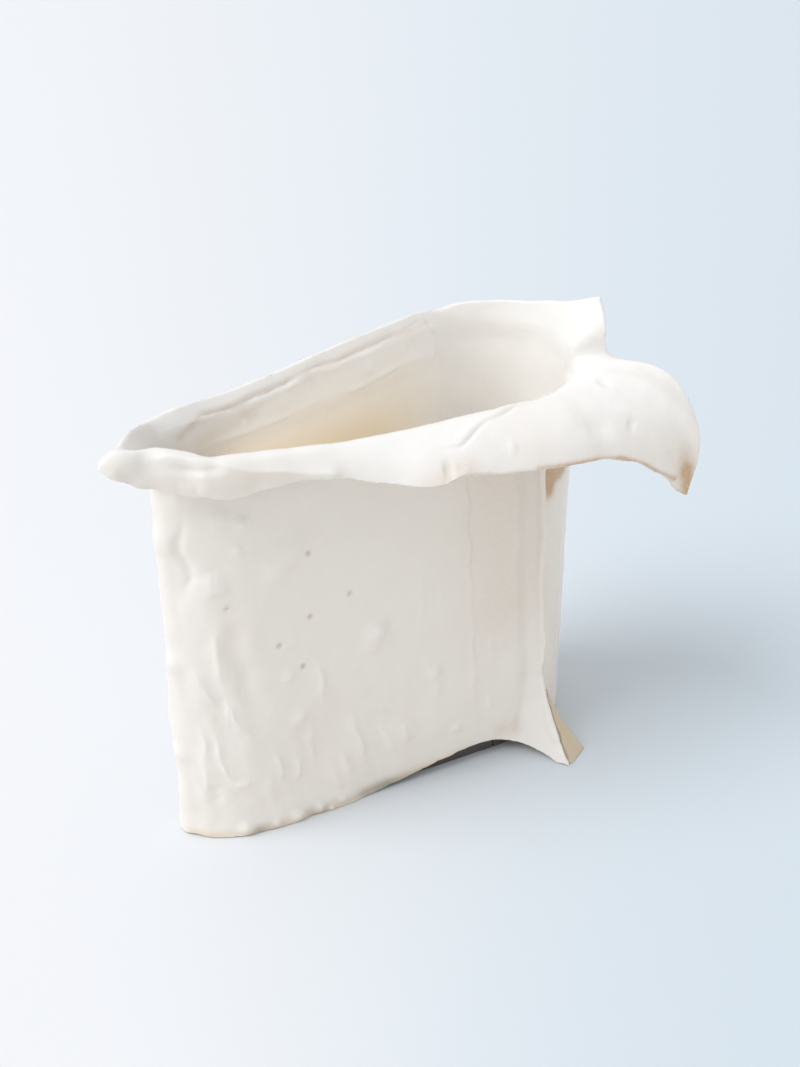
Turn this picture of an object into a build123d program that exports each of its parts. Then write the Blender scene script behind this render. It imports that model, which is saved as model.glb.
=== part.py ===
"""Slab-built porcelain pillow vase: walls, base, folded rim and the coils that seal its seams.

Millimetres, +Z up, +X along the front wall from the narrow nose to the half-round end, +Y to the
back. The origin lies on the underside of the base.
"""

import os
from math import atan2, cos, degrees, radians, sin
from typing import NamedTuple

from build123d import *

# Slabs and joints
SLAB = 4.0
BASE_SLAB = 5.0
JOINT_GAP = 0.2

# Plan of the walls
FRONT_RUN = 135.0
FACET_RUN = 17.5
FACET_ANGLE = 40.0
NOSE_RADIUS = 8.0
BACK_RUN = 153.0
BACK_ANGLE = 19.8
CORNER_TO_ORIGIN = 70.5
FRONT_TO_ORIGIN = 35.0

# Height of the walls, where the rim pieces are seated
WALL_HEIGHT = 155.0

# Slanted seam between front slab and corner panel
SEAM_FROM_END_AT_FOOT = 23.5
SEAM_FROM_END_AT_TOP = 35.0
SEAM_BEVEL = 40.0

# Margin of the end slab that lies behind the corner panel
END_LAP = 14.0

# Curled fin along the right margin of the corner panel
FIN_WIDTH = 8.0
FIN_REACH = 4.5
FIN_LEAN = 6.0
FIN_CURL = 4.5
FIN_EDGE = 2.6

# Foot drawn out of the fin, and the arch beside it
FOOT_HEIGHT = 34.0
FOOT_WIDTH = 30.0
FOOT_REACH = 7.0
FOOT_CURL = 24.0
FOOT_WEDGE_REACH = 10.0
ARCH_FROM_END = 92.0
ARCH_CROWN_FROM_END = 16.0
ARCH_PAST_END = 5.0
ARCH_RISE = 7.5

# Rim slabs
LIP = 3.4
COLLAR = 5.4
RIM_EDGE = 2.4
BEND = 6.0

# Lap of the front lip on the wing
LAP_FROM_END = 54.0
LAP_END = 1.0
LAP_DEPTH = 26.0

# Seam coils
COIL = 7.0
NOSE_COIL = 4.0
CORNER_COIL = 3.6


class Fold(NamedTuple):
    """Profile of the rim at one place: a neck on the wall, a bend outward and a flap.

    The neck leans outward by `lean` and is `rise` long, the bend turns by `turn`, and the flap is
    `flap` long and turns on by `droop`. Angles in degrees, lengths in millimetres.
    """

    lean: float
    rise: float
    turn: float
    flap: float
    droop: float


# Landmarks of the plan
FRONT_Y = -FRONT_TO_ORIGIN
INNER_Y = FRONT_Y + SLAB
FRONT_CORNER = Vector(-CORNER_TO_ORIGIN, FRONT_Y)
FACET_ALONG = Vector(-cos(radians(FACET_ANGLE)), sin(radians(FACET_ANGLE)))
FACET_OUT_ANGLE = 270.0 - FACET_ANGLE
FRONT_MITRE_ANGLE = 270.0 - FACET_ANGLE / 2
FACET_END = FRONT_CORNER + FACET_ALONG * FACET_RUN
NOSE = FACET_END + Vector(FACET_ALONG.Y, -FACET_ALONG.X) * NOSE_RADIUS
NOSE_INNER = NOSE_RADIUS - SLAB
BACK_ALONG = Vector(cos(radians(BACK_ANGLE)), sin(radians(BACK_ANGLE)))
BACK_OUT = Vector(-BACK_ALONG.Y, BACK_ALONG.X)
BACK_START = NOSE + BACK_OUT * NOSE_RADIUS
BACK_END = BACK_START + BACK_ALONG * BACK_RUN
NOSE_BACK_ANGLE = 90.0 + BACK_ANGLE
END_X = FRONT_CORNER.X + FRONT_RUN
END_RADIUS = ((BACK_END.Y - INNER_Y) ** 2 + (BACK_END.X - END_X) ** 2) / (BACK_END.Y - INNER_Y) / 2
END_INNER = END_RADIUS - SLAB
END = Vector(END_X, INNER_Y + END_RADIUS)
BACK_CORNER_ANGLE = degrees(atan2(BACK_END.Y - END.Y, BACK_END.X - END.X))


def on_circle(centre: Vector, radius: float, angle: float, z: float = 0.0) -> Vector:
    """A point on a level circle."""
    turn = radians(angle)
    return Vector(centre.X + radius * cos(turn), centre.Y + radius * sin(turn), z)


def arc_between(centre: Vector, radius: float, start: float, stop: float, z: float = 0.0) -> Edge:
    """A level arc from one angle to another."""
    middle = (start + stop) / 2
    return Edge.make_three_point_arc(
        on_circle(centre, radius, start, z),
        on_circle(centre, radius, middle, z),
        on_circle(centre, radius, stop, z),
    )


def angle_about(centre: Vector, point: Vector) -> float:
    """Direction of a point seen from a centre, in degrees."""
    return degrees(atan2(point.Y - centre.Y, point.X - centre.X))


def face_of(*edges: Edge) -> Face:
    """A flat face bounded by edges that follow each other."""
    return Face(Wire(list(edges)))


def polygon(*points: Vector) -> Face:
    """A flat face with straight sides."""
    return Face(Wire.make_polygon(list(points), close=True))


def upright(face: Face, height: float) -> Solid:
    """A level face raised to a solid."""
    return Solid.extrude(face, Vector(0, 0, height))


def kept(solid: Solid, plane: Plane, keep: Keep) -> Solid:
    """The part of a solid on one side of a plane."""
    return split(solid, bisect_by=plane, keep=keep).solid()


def seam_plane(side: float) -> Plane:
    """The bevelled, slanted seam on the front, half a joint gap to one side."""
    foot = Vector(END_X - SEAM_FROM_END_AT_FOOT, FRONT_Y, 0)
    top = Vector(END_X - SEAM_FROM_END_AT_TOP, FRONT_Y, WALL_HEIGHT)
    along = (top - foot).normalized()
    across = Vector(sin(radians(SEAM_BEVEL)), cos(radians(SEAM_BEVEL)), 0)
    normal = across.cross(along).normalized()
    return Plane(origin=foot + normal * (side * JOINT_GAP / 2), x_dir=along, z_dir=normal)


def mitre_corner(side: float) -> tuple[Vector, Vector]:
    """Outer and inner corner of the joint between end and back, half a joint gap to one side."""
    half_turn = (NOSE_BACK_ANGLE - BACK_CORNER_ANGLE) / 2
    outward = on_circle(Vector(), 1.0, BACK_CORNER_ANGLE + half_turn)
    along = Vector(-outward.Y, outward.X)
    outer = BACK_END + along * (side * JOINT_GAP / 2)
    return outer, outer - outward * (SLAB / cos(radians(half_turn)))


def front_corner_inside(depth: float) -> Vector:
    """Where front and facet meet at a depth inside their faces."""
    half_turn = radians(FACET_ANGLE / 2)
    return FRONT_CORNER - on_circle(Vector(), depth / cos(half_turn), FRONT_MITRE_ANGLE)


def arch_cutter() -> Solid:
    """The bow under the lower edge of the front, beside the foot."""
    y = FRONT_Y - FOOT_CURL * 2
    left = Vector(END_X - ARCH_FROM_END, y, -0.5)
    rising = Vector(END_X - (ARCH_FROM_END + ARCH_CROWN_FROM_END) / 2, y, ARCH_RISE * 0.45)
    crown = Vector(END_X - ARCH_CROWN_FROM_END, y, ARCH_RISE)
    right = Vector(END_X + ARCH_PAST_END, y, -0.5)
    bow = face_of(Edge.make_spline([left, rising, crown, right]), Edge.make_line(right, left))
    return Solid.extrude(bow, Vector(0, FOOT_CURL * 2 + SLAB, 0))


def make_base_slab() -> Solid:
    """The floor, set inside the walls with a joint gap all round."""
    gap = JOINT_GAP
    front = INNER_Y + gap
    step = END.Y - END_INNER + gap
    step_x = END_X - END_LAP - gap
    inner_nose = NOSE_INNER - gap
    inner_end = END_INNER - gap
    corner = mitre_corner(0.0)[1]
    end_stop = on_circle(END, inner_end, angle_about(END, corner) - degrees(gap / inner_end))
    back_stop = corner - BACK_OUT * gap - BACK_ALONG * gap
    front_start = front_corner_inside(SLAB + gap)
    face = face_of(
        Edge.make_line(front_start, Vector(step_x, front)),
        Edge.make_line(Vector(step_x, front), Vector(step_x, step)),
        Edge.make_line(Vector(step_x, step), Vector(END_X, step)),
        arc_between(END, inner_end, -90.0, angle_about(END, end_stop)),
        Edge.make_line(end_stop, back_stop),
        Edge.make_line(back_stop, NOSE + BACK_OUT * inner_nose),
        arc_between(NOSE, inner_nose, NOSE_BACK_ANGLE, FACET_OUT_ANGLE),
        Edge.make_line(on_circle(NOSE, inner_nose, FACET_OUT_ANGLE), front_start),
    )
    return upright(face, BASE_SLAB)


def make_front_slab() -> Solid:
    """The flat textured slab from the mitred corner to the seam."""
    face = polygon(
        FRONT_CORNER, Vector(END_X, FRONT_Y), Vector(END_X, INNER_Y), front_corner_inside(SLAB)
    )
    slab = kept(upright(face, WALL_HEIGHT), seam_plane(-1.0), Keep.BOTTOM)
    return (slab - arch_cutter()).solid()


class Curl(NamedTuple):
    """Plan of the corner panel's margin at one height."""

    start: float
    edge: Vector
    thickness: float


def foot_share(z: float) -> float:
    """How much of the foot there is at a height, from all of it on the floor to none above it."""
    return max(0.0, 1.0 - z / FOOT_HEIGHT) ** 1.6


def curl_at(z: float) -> Curl:
    """How far the panel's margin curls forward at a height: the fin above, the foot below."""
    share = foot_share(z)
    fin_reach = FIN_REACH - FIN_LEAN * max(0.0, z - FOOT_HEIGHT) / (WALL_HEIGHT - FOOT_HEIGHT)
    reach = fin_reach + (FOOT_REACH - FIN_REACH) * share
    width = FIN_WIDTH + (FOOT_WIDTH - FIN_WIDTH) * share
    curl = FIN_CURL + (FOOT_CURL - FIN_CURL) * share
    return Curl(END_X + reach - width, Vector(END_X + reach, FRONT_Y - curl), FIN_EDGE)


def curl_lines(curl: Curl) -> tuple[Vector, Vector, Vector, Vector]:
    """Middle and end of the panel's front face in the curl, then the same of its back face."""
    span = curl.edge.X - curl.start
    drop = FRONT_Y - curl.edge.Y
    front_middle = Vector(curl.start + span / 2, FRONT_Y - drop / 4)
    end_slope = atan2(2 * drop, span)
    middle_slope = atan2(drop, span)
    half = (SLAB + curl.thickness) / 2
    back_end = curl.edge + Vector(sin(end_slope), cos(end_slope)) * curl.thickness
    back_middle = front_middle + Vector(sin(middle_slope), cos(middle_slope)) * half
    return front_middle, curl.edge, back_middle, back_end


def panel_section(z: float) -> Face:
    """Level section of the corner panel."""
    curl = curl_at(z)
    front_middle, front_end, back_middle, back_end = curl_lines(curl)
    lift = Vector(0, 0, z)
    left_front = Vector(END_X - SEAM_FROM_END_AT_TOP - SLAB * 2, FRONT_Y, z)
    left_back = left_front + Vector(0, SLAB, 0)
    bend_front = Vector(curl.start, FRONT_Y, z)
    bend_back = bend_front + Vector(0, SLAB, 0)
    return face_of(
        Edge.make_line(left_front, bend_front),
        Edge.make_three_point_arc(bend_front, front_middle + lift, front_end + lift),
        Edge.make_line(front_end + lift, back_end + lift),
        Edge.make_three_point_arc(back_end + lift, back_middle + lift, bend_back),
        Edge.make_line(bend_back, left_back),
        Edge.make_line(left_back, left_front),
    )


def make_corner_panel() -> Solid:
    """The smooth panel right of the seam, with its fin, its foot and the arch under it."""
    foot = Solid.make_loft([panel_section(FOOT_HEIGHT * step / 5).outer_wire() for step in range(6)])
    fin_ends = [panel_section(FOOT_HEIGHT), panel_section(WALL_HEIGHT)]
    fin = Solid.make_loft([section.outer_wire() for section in fin_ends], ruled=True)
    panel = kept((foot + fin).solid(), seam_plane(1.0), Keep.TOP)
    return (panel - arch_cutter()).solid()


def wedge_section(z: float) -> Wire:
    """Level section of the clay wedge between the drawn-out foot and the end slab."""
    share = foot_share(z)
    curl = curl_at(z)
    _, _, back_middle, back_end = curl_lines(curl)
    lift = Vector(0, 0, z)
    clear = Vector(JOINT_GAP * 2, JOINT_GAP)
    start = Vector(curl.start + FIN_WIDTH / 2, INNER_Y, z)
    tip = back_end + Vector(1.0 + FOOT_WEDGE_REACH * share, 1.5 + FOOT_WEDGE_REACH * 0.5 * share, z)
    landing = -90.0 + 10.0 + 24.0 * share
    root = on_circle(END, END_RADIUS, -90.0, z)
    return Wire(
        [
            Edge.make_three_point_arc(start, back_middle + clear + lift, back_end + clear + lift),
            Edge.make_line(back_end + clear + lift, tip),
            Edge.make_line(tip, on_circle(END, END_RADIUS, landing, z)),
            arc_between(END, END_RADIUS, landing, -90.0, z),
            Edge.make_line(root, start),
        ]
    )


def make_foot_wedge() -> Solid:
    """The lump of clay that backs the foot."""
    wedge = Solid.make_loft([wedge_section(FOOT_HEIGHT * step / 5) for step in range(5)])
    return (wedge - arch_cutter()).solid()


def make_end_slab() -> Solid:
    """The slab bent to a half round at the right end, with its flat margin behind the panel."""
    outer_corner, inner_corner = mitre_corner(-1.0)
    outer_radius = END_RADIUS - JOINT_GAP
    outer_stop = angle_about(END, outer_corner)
    inner_stop = angle_about(END, inner_corner)
    outer_start = on_circle(END, outer_radius, -90.0)
    inner_start = on_circle(END, END_INNER, -90.0)
    margin = Vector(-END_LAP, 0)
    face = face_of(
        Edge.make_line(outer_start + margin, outer_start),
        arc_between(END, outer_radius, -90.0, outer_stop),
        Edge.make_line(on_circle(END, outer_radius, outer_stop), on_circle(END, END_INNER, inner_stop)),
        arc_between(END, END_INNER, inner_stop, -90.0),
        Edge.make_line(inner_start, inner_start + margin),
        Edge.make_line(inner_start + margin, outer_start + margin),
    )
    return upright(face, WALL_HEIGHT)


def make_back_slab() -> Solid:
    """The flat back slab from the nose to the mitre."""
    outer_corner, inner_corner = mitre_corner(1.0)
    face = polygon(BACK_START, outer_corner, inner_corner, BACK_START - BACK_OUT * SLAB)
    return upright(face, WALL_HEIGHT)


def make_nose_strip() -> Solid:
    """The bent strip that closes the narrow left end: a flat facet and a tight turn to the back."""
    inside = front_corner_inside(SLAB)
    face = face_of(
        Edge.make_line(FRONT_CORNER, FACET_END),
        arc_between(NOSE, NOSE_RADIUS, FACET_OUT_ANGLE, NOSE_BACK_ANGLE),
        Edge.make_line(BACK_START, BACK_START - BACK_OUT * SLAB),
        arc_between(NOSE, NOSE_INNER, NOSE_BACK_ANGLE, FACET_OUT_ANGLE),
        Edge.make_line(on_circle(NOSE, NOSE_INNER, FACET_OUT_ANGLE), inside),
        Edge.make_line(inside, FRONT_CORNER),
    )
    return upright(face, WALL_HEIGHT)


def station(place: Vector, outward: Vector) -> Plane:
    """The upright plane of a rim profile: local X outward, local Y up."""
    up = Vector(0, 0, 1)
    return Plane(origin=Vector(place.X, place.Y, WALL_HEIGHT), x_dir=outward, z_dir=outward.cross(up))


def front_station(x: float) -> Plane:
    """A place on the straight front."""
    return station(Vector(x, FRONT_Y), Vector(0, -1, 0))


def end_station(angle: float, proud: float = 0.0) -> Plane:
    """A place on the half-round end, as an angle about its centre."""
    return station(on_circle(END, END_RADIUS - JOINT_GAP + proud, angle), on_circle(Vector(), 1.0, angle))


def nose_station(angle: float) -> Plane:
    """A place on the nose by its outward angle: round the turn, then along the facet to the mitre."""
    outward = on_circle(Vector(), 1.0, angle)
    if angle <= FACET_OUT_ANGLE:
        return station(on_circle(NOSE, NOSE_RADIUS, angle), outward)
    share = (angle - FACET_OUT_ANGLE) / (FRONT_MITRE_ANGLE - FACET_OUT_ANGLE)
    return station(FACET_END - FACET_ALONG * (FACET_RUN * share), outward)


def back_station(along: float) -> Plane:
    """A place on the straight back, as a distance from the nose."""
    return station(BACK_START + BACK_ALONG * along, BACK_OUT)


def mitre_station() -> Plane:
    """The place on the rim over the mitre between end and back."""
    return station(BACK_END, on_circle(Vector(), 1.0, (BACK_CORNER_ANGLE + NOSE_BACK_ANGLE) / 2))


def rim_section(place: Plane, fold: Fold, thickness: float) -> Wire:
    """Closed outline of the folded rim slab at one station."""

    def at(point: Vector) -> Vector:
        return place.from_local_coords(point)

    def heading(angle: float) -> Vector:
        return Vector(sin(angle), cos(angle))

    def outside(angle: float) -> Vector:
        return Vector(cos(angle), -sin(angle))

    lean = radians(fold.lean)
    turn = radians(fold.turn)
    droop = radians(fold.droop)
    neck = heading(lean) * fold.rise
    bend_radius = BEND / turn
    bend_centre = neck + outside(lean) * bend_radius
    folded = lean + turn
    flap_radius = fold.flap / droop
    crease = bend_centre - outside(folded) * bend_radius
    flap_centre = crease + outside(folded) * flap_radius

    def bend_point(share: float, depth: float) -> Vector:
        return bend_centre - outside(lean + turn * share) * (bend_radius + depth)

    def flap_point(share: float, depth: float) -> Vector:
        return flap_centre - outside(folded + droop * share) * (flap_radius + depth)

    seat_out = Vector(0, 0)
    seat_in = Vector(-thickness, 0)
    middle = (thickness + RIM_EDGE) / 2
    outer_bend = [at(bend_point(share, 0.0)) for share in (0.0, 0.5, 1.0)]
    inner_bend = [at(bend_point(share, thickness)) for share in (1.0, 0.5, 0.0)]
    under_flap = [at(flap_point(share, 0.0)) for share in (0.0, 0.5, 1.0)]
    upper_flap = [at(flap_point(1.0, RIM_EDGE)), at(flap_point(0.5, middle)), inner_bend[0]]
    return Wire(
        [
            Edge.make_line(at(seat_in), at(seat_out)),
            Edge.make_line(at(seat_out), outer_bend[0]),
            Edge.make_three_point_arc(*outer_bend),
            Edge.make_three_point_arc(*under_flap),
            Edge.make_line(under_flap[2], upper_flap[0]),
            Edge.make_three_point_arc(*upper_flap),
            Edge.make_three_point_arc(*inner_bend),
            Edge.make_line(inner_bend[2], at(seat_in)),
        ]
    )


# Rim profiles shared by neighbouring pieces, then the angles about the centre of the half-round end
# at which the end collar starts, the wing's curved run starts, and its seat is no longer proud
FOLD_AT_MITRE = Fold(0.0, 7.3, 150.0, 10.0, 45.0)
FOLD_AT_NOSE_BACK = Fold(0.0, 8.0, 4.0, 6.2, 4.0)
FOLD_AT_BACK_CORNER = Fold(0.0, 8.0, 5.0, 6.2, 5.0)
FOLD_AT_END = Fold(0.0, 0.7, 97.0, 27.0, 61.0)
FOLD_AT_COLLAR = Fold(0.0, 1.5, 66.0, 11.0, 20.0)
COLLAR_ANGLE = -28.0
WING_ANGLE = -86.0
PROUD_ANGLE = -62.0

# Rim profiles along the front, by distance before the half-round end
FRONT_FOLDS = [
    (-FRONT_RUN, FOLD_AT_MITRE),
    (-FRONT_RUN + 29.0, Fold(0.0, 3.4, 125.0, 7.5, 34.0)),
    (-85.0, Fold(0.0, 1.0, 110.0, 11.0, 46.0)),
    (-60.0, Fold(0.0, 0.5, 100.0, 23.0, 43.0)),
    (-49.0, Fold(0.0, 0.5, 100.0, 22.0, 35.0)),
    (-32.0, Fold(0.0, 0.6, 99.0, 24.0, 46.0)),
    (0.0, FOLD_AT_END),
]

# Rim profiles of the wing, by angle about the centre of the half-round end
WING_FOLDS = [
    (-90.0, FOLD_AT_END),
    (-77.0, Fold(0.0, 0.8, 95.0, 30.0, 66.0)),
    (-66.0, Fold(0.0, 0.8, 92.0, 39.0, 70.0)),
    (-56.0, Fold(0.0, 0.8, 88.0, 53.0, 86.0)),
    (-50.0, Fold(0.0, 0.8, 85.0, 67.0, 98.0)),
    (-44.0, Fold(0.0, 0.9, 82.0, 53.0, 66.0)),
    (-36.0, Fold(0.0, 0.8, 80.0, 40.0, 42.0)),
    (COLLAR_ANGLE, FOLD_AT_COLLAR),
]

# Rim profiles of the end collar, by the same angle
COLLAR_FOLDS = [
    (COLLAR_ANGLE, FOLD_AT_COLLAR),
    (-17.0, Fold(0.0, 8.0, 22.0, 18.0, 10.0)),
    (0.0, Fold(0.0, 8.0, 12.0, 12.5, 8.0)),
    (25.0, Fold(0.0, 8.0, 6.0, 9.0, 6.0)),
    (92.0, FOLD_AT_BACK_CORNER),
]

# Rim profiles round the nose, by outward angle
TIP_FOLDS = [
    (NOSE_BACK_ANGLE, FOLD_AT_NOSE_BACK),
    (150.0, Fold(0.0, 10.0, 5.0, 3.5, 4.0)),
    (183.0, Fold(10.0, 12.0, 12.0, 2.0, 5.0)),
    (202.0, Fold(34.0, 14.0, 45.0, 2.0, 8.0)),
    (211.0, Fold(48.0, 22.0, 98.0, 2.5, 10.0)),
    (221.0, Fold(40.0, 17.5, 110.0, 5.5, 14.0)),
    (230.0, Fold(26.0, 13.5, 122.0, 8.0, 20.0)),
    (240.0, Fold(11.0, 10.0, 140.0, 9.5, 34.0)),
    (FRONT_MITRE_ANGLE, FOLD_AT_MITRE),
]


def fold_at(keys: list[tuple[float, Fold]], where: float) -> Fold:
    """The rim profile between two neighbouring keys."""
    for (left, before), (right, after) in zip(keys, keys[1:]):
        if where <= right:
            share = (where - left) / (right - left)
            return Fold(*(a + (b - a) * share for a, b in zip(before, after)))
    return keys[-1][1]


def even_steps(start: float, stop: float, count: int) -> list[float]:
    """Evenly spaced values, both ends among them."""
    return [start + (stop - start) * step / (count - 1) for step in range(count)]


def front_sections(start: float, stop: float, count: int) -> list[Wire]:
    """Rim profiles along part of the front."""
    runs = even_steps(start, stop, count)
    return [rim_section(front_station(END_X + run), fold_at(FRONT_FOLDS, run), LIP) for run in runs]


def lap_plane(side: float) -> Plane:
    """The diagonal crease where the front lip laps onto the wing, half a joint gap to one side."""
    start = Vector(END_X - LAP_FROM_END, FRONT_Y - LAP_DEPTH)
    stop = Vector(END_X - LAP_END, INNER_Y)
    along = (stop - start).normalized()
    normal = Vector(along.Y, -along.X)
    return Plane(origin=start + normal * (side * JOINT_GAP / 2), x_dir=Vector(0, 0, 1), z_dir=normal)


def make_front_lip() -> Solid:
    """The folded lip along the front, from the mitred corner to its diagonal lap on the wing."""
    sections = front_sections(-FRONT_RUN, LIP, 18)
    sections[0] = rim_section(nose_station(FRONT_MITRE_ANGLE), FOLD_AT_MITRE, LIP)
    return kept(Solid.make_loft(sections), lap_plane(-1.0), Keep.BOTTOM)


def make_wing_lip() -> Solid:
    """The flared lobe over the front corner, from the lap to the end collar."""
    sections = front_sections(-LAP_FROM_END - LIP, 0.0, 14)[:-1]
    for angle in even_steps(WING_ANGLE, COLLAR_ANGLE - degrees(JOINT_GAP / END_RADIUS), 16):
        proud = SLAB * max(0.0, (PROUD_ANGLE - angle) / (90.0 + PROUD_ANGLE))
        sections.append(rim_section(end_station(angle, proud), fold_at(WING_FOLDS, angle), LIP))
    return kept(Solid.make_loft(sections), lap_plane(1.0), Keep.TOP)


def make_end_collar() -> Solid:
    """The upright petal over the half-round end."""
    angles = even_steps(COLLAR_ANGLE, BACK_CORNER_ANGLE, 12)[:-1]
    sections = [rim_section(end_station(angle), fold_at(COLLAR_FOLDS, angle), LIP) for angle in angles]
    sections.append(rim_section(mitre_station(), FOLD_AT_BACK_CORNER, LIP))
    return Solid.make_loft(sections)


def make_back_collar() -> Solid:
    """The thick band along the back rim."""
    sections = [
        rim_section(back_station(0.0), FOLD_AT_NOSE_BACK, COLLAR),
        rim_section(back_station(BACK_RUN / 3), Fold(0.0, 8.0, 5.0, 5.0, 4.0), COLLAR),
        rim_section(back_station(BACK_RUN * 2 / 3), Fold(0.0, 8.0, 4.0, 6.5, 5.0), COLLAR),
        rim_section(mitre_station(), FOLD_AT_BACK_CORNER, COLLAR),
    ]
    return Solid.make_loft(sections)


def make_pinched_tip() -> Solid:
    """The beak over the nose, from the upright back collar round to the hanging front lip."""
    angles = even_steps(NOSE_BACK_ANGLE, FACET_OUT_ANGLE, 13)
    angles += even_steps(FACET_OUT_ANGLE, FRONT_MITRE_ANGLE, 5)[1:]
    sections = [rim_section(nose_station(angle), fold_at(TIP_FOLDS, angle), LIP) for angle in angles]
    return Solid.make_loft(sections)


def coil_edges(inner: Vector, corner: Vector, top: Vector) -> Face:
    """A coil pressed into a corner: two flat sides and a hollow face between them."""
    chord = (inner + top) / 2
    hollow = chord + (corner - chord) * 0.35
    return face_of(
        Edge.make_line(inner, corner),
        Edge.make_line(corner, top),
        Edge.make_three_point_arc(top, hollow, inner),
    )


def base_coil(wall: Vector, inward: Vector, size: float) -> Face:
    """Section of a coil in the corner between the base and a wall."""
    corner = Vector(wall.X, wall.Y, BASE_SLAB)
    return coil_edges(corner + inward * size, corner, corner + Vector(0, 0, size))


def make_front_base_coil() -> Solid:
    """The coil along the foot of the front, inside."""
    start = front_corner_inside(SLAB) + Vector(COIL, 0)
    stop = END_X - END_LAP - JOINT_GAP
    return Solid.extrude(base_coil(start, Vector(0, 1, 0), COIL), Vector(stop - start.X, 0, 0))


def make_back_base_coil() -> Solid:
    """The coil along the foot of the back, inside."""
    start = BACK_START - BACK_OUT * SLAB + BACK_ALONG * (COIL * 2)
    return Solid.extrude(base_coil(start, BACK_OUT * -1.0, COIL), BACK_ALONG * (BACK_RUN - COIL * 3))


def make_end_base_coil() -> Solid:
    """The coil along the foot of the half-round end, inside."""
    section = base_coil(Vector(END.X, END.Y - END_INNER), Vector(0, 1, 0), COIL)
    axis = Axis(origin=(END.X, END.Y, 0), direction=(0, 0, 1))
    return Solid.revolve(section, BACK_CORNER_ANGLE + 90.0 - degrees(COIL / END_INNER), axis)


def make_nose_base_coil() -> Solid:
    """The coil along the foot of the facet, inside."""
    start = front_corner_inside(SLAB) + FACET_ALONG * NOSE_COIL
    inward = Vector(FACET_ALONG.Y, -FACET_ALONG.X)
    return Solid.extrude(base_coil(start, inward, NOSE_COIL), FACET_ALONG * (FACET_RUN - NOSE_COIL * 2))


def make_corner_coil() -> Solid:
    """The upright coil where the end slab's margin stops behind the corner panel."""
    corner = Vector(END_X - END_LAP, INNER_Y, BASE_SLAB + COIL)
    section = coil_edges(corner - Vector(CORNER_COIL, 0, 0), corner, corner + Vector(0, CORNER_COIL, 0))
    return Solid.extrude(section, Vector(0, 0, WALL_HEIGHT - corner.Z))


NODES = {
    "base_slab": make_base_slab,
    "front_slab": make_front_slab,
    "corner_panel": make_corner_panel,
    "foot_wedge": make_foot_wedge,
    "end_slab": make_end_slab,
    "back_slab": make_back_slab,
    "nose_strip": make_nose_strip,
    "front_lip": make_front_lip,
    "wing_lip": make_wing_lip,
    "end_collar": make_end_collar,
    "back_collar": make_back_collar,
    "pinched_tip": make_pinched_tip,
    "front_base_coil": make_front_base_coil,
    "back_base_coil": make_back_base_coil,
    "end_base_coil": make_end_base_coil,
    "nose_base_coil": make_nose_base_coil,
    "corner_coil": make_corner_coil,
}

os.makedirs("parts", exist_ok=True)
for name, make in NODES.items():
    solid = make()
    solid.label = name
    export_step(solid, f"parts/{name}.step")
    box = solid.bounding_box()
    print(name, round(solid.volume / 1000, 2), "cm3", solid.is_valid, box.min, box.max)
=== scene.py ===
"""Dresses the slab-built porcelain vase: hand-worked clay, glaze, studio light and camera.

The slabs of the fixed frame are first joined to one clay body, so that the marks of the hand run on
across the joints. The body is then cut along those joints, into one closed piece for each slab.
Sizes below are millimetres, Blender's own are metres. +Z is up, and +X runs from the narrow nose to
the half-round end.
"""

import logging
import math
from dataclasses import dataclass, field
from enum import Enum

import bmesh
import bpy
import numpy as np
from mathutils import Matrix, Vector
from mathutils.kdtree import KDTree


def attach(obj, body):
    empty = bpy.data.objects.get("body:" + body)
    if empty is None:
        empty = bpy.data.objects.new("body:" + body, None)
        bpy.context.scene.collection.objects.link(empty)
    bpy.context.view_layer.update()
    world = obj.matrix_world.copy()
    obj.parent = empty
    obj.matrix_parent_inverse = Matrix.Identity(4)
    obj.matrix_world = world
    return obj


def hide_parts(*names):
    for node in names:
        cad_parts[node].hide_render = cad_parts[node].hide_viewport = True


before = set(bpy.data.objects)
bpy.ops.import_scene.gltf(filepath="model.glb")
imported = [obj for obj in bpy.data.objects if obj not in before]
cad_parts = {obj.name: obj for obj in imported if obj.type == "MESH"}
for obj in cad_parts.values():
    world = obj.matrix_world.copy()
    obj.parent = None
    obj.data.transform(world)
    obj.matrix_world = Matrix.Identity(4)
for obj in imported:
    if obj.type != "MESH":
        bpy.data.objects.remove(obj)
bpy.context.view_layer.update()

log = logging.getLogger("vase")

MM = 0.001

Point = tuple[float, float, float]
Colour = tuple[float, float, float]
Span = tuple[float, float]
Outline = list[Vector]


class Slot(Enum):
    """Material slots of the record."""

    WHITE_GLAZE = "white_glaze"
    CREAM_GLAZE = "cream_glaze"
    TAN_CLAY = "tan_clay"
    BARE_PORCELAIN = "bare_porcelain"


class Mask(Enum):
    """Values painted on the clay's points, which the glaze reads."""

    POOLED_AND_SHADED = "pooled_and_shaded"
    STAIN_AND_SHADE = "stain_and_shade"
    ARCH_SHADE = "arch_shade"
    FOLDS = "folds"


def polar(angle: float, length: float = 1.0) -> Vector:
    """A level vector from its angle in degrees and its length."""
    turn = math.radians(angle)
    return Vector((math.cos(turn), math.sin(turn))) * length


def smooth_step(values: np.ndarray, low: float, high: float) -> np.ndarray:
    """Values eased from 0 at low to 1 at high."""
    share = np.clip((values - low) / (high - low), 0.0, 1.0)
    return share * share * (3.0 - 2.0 * share)


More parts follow.
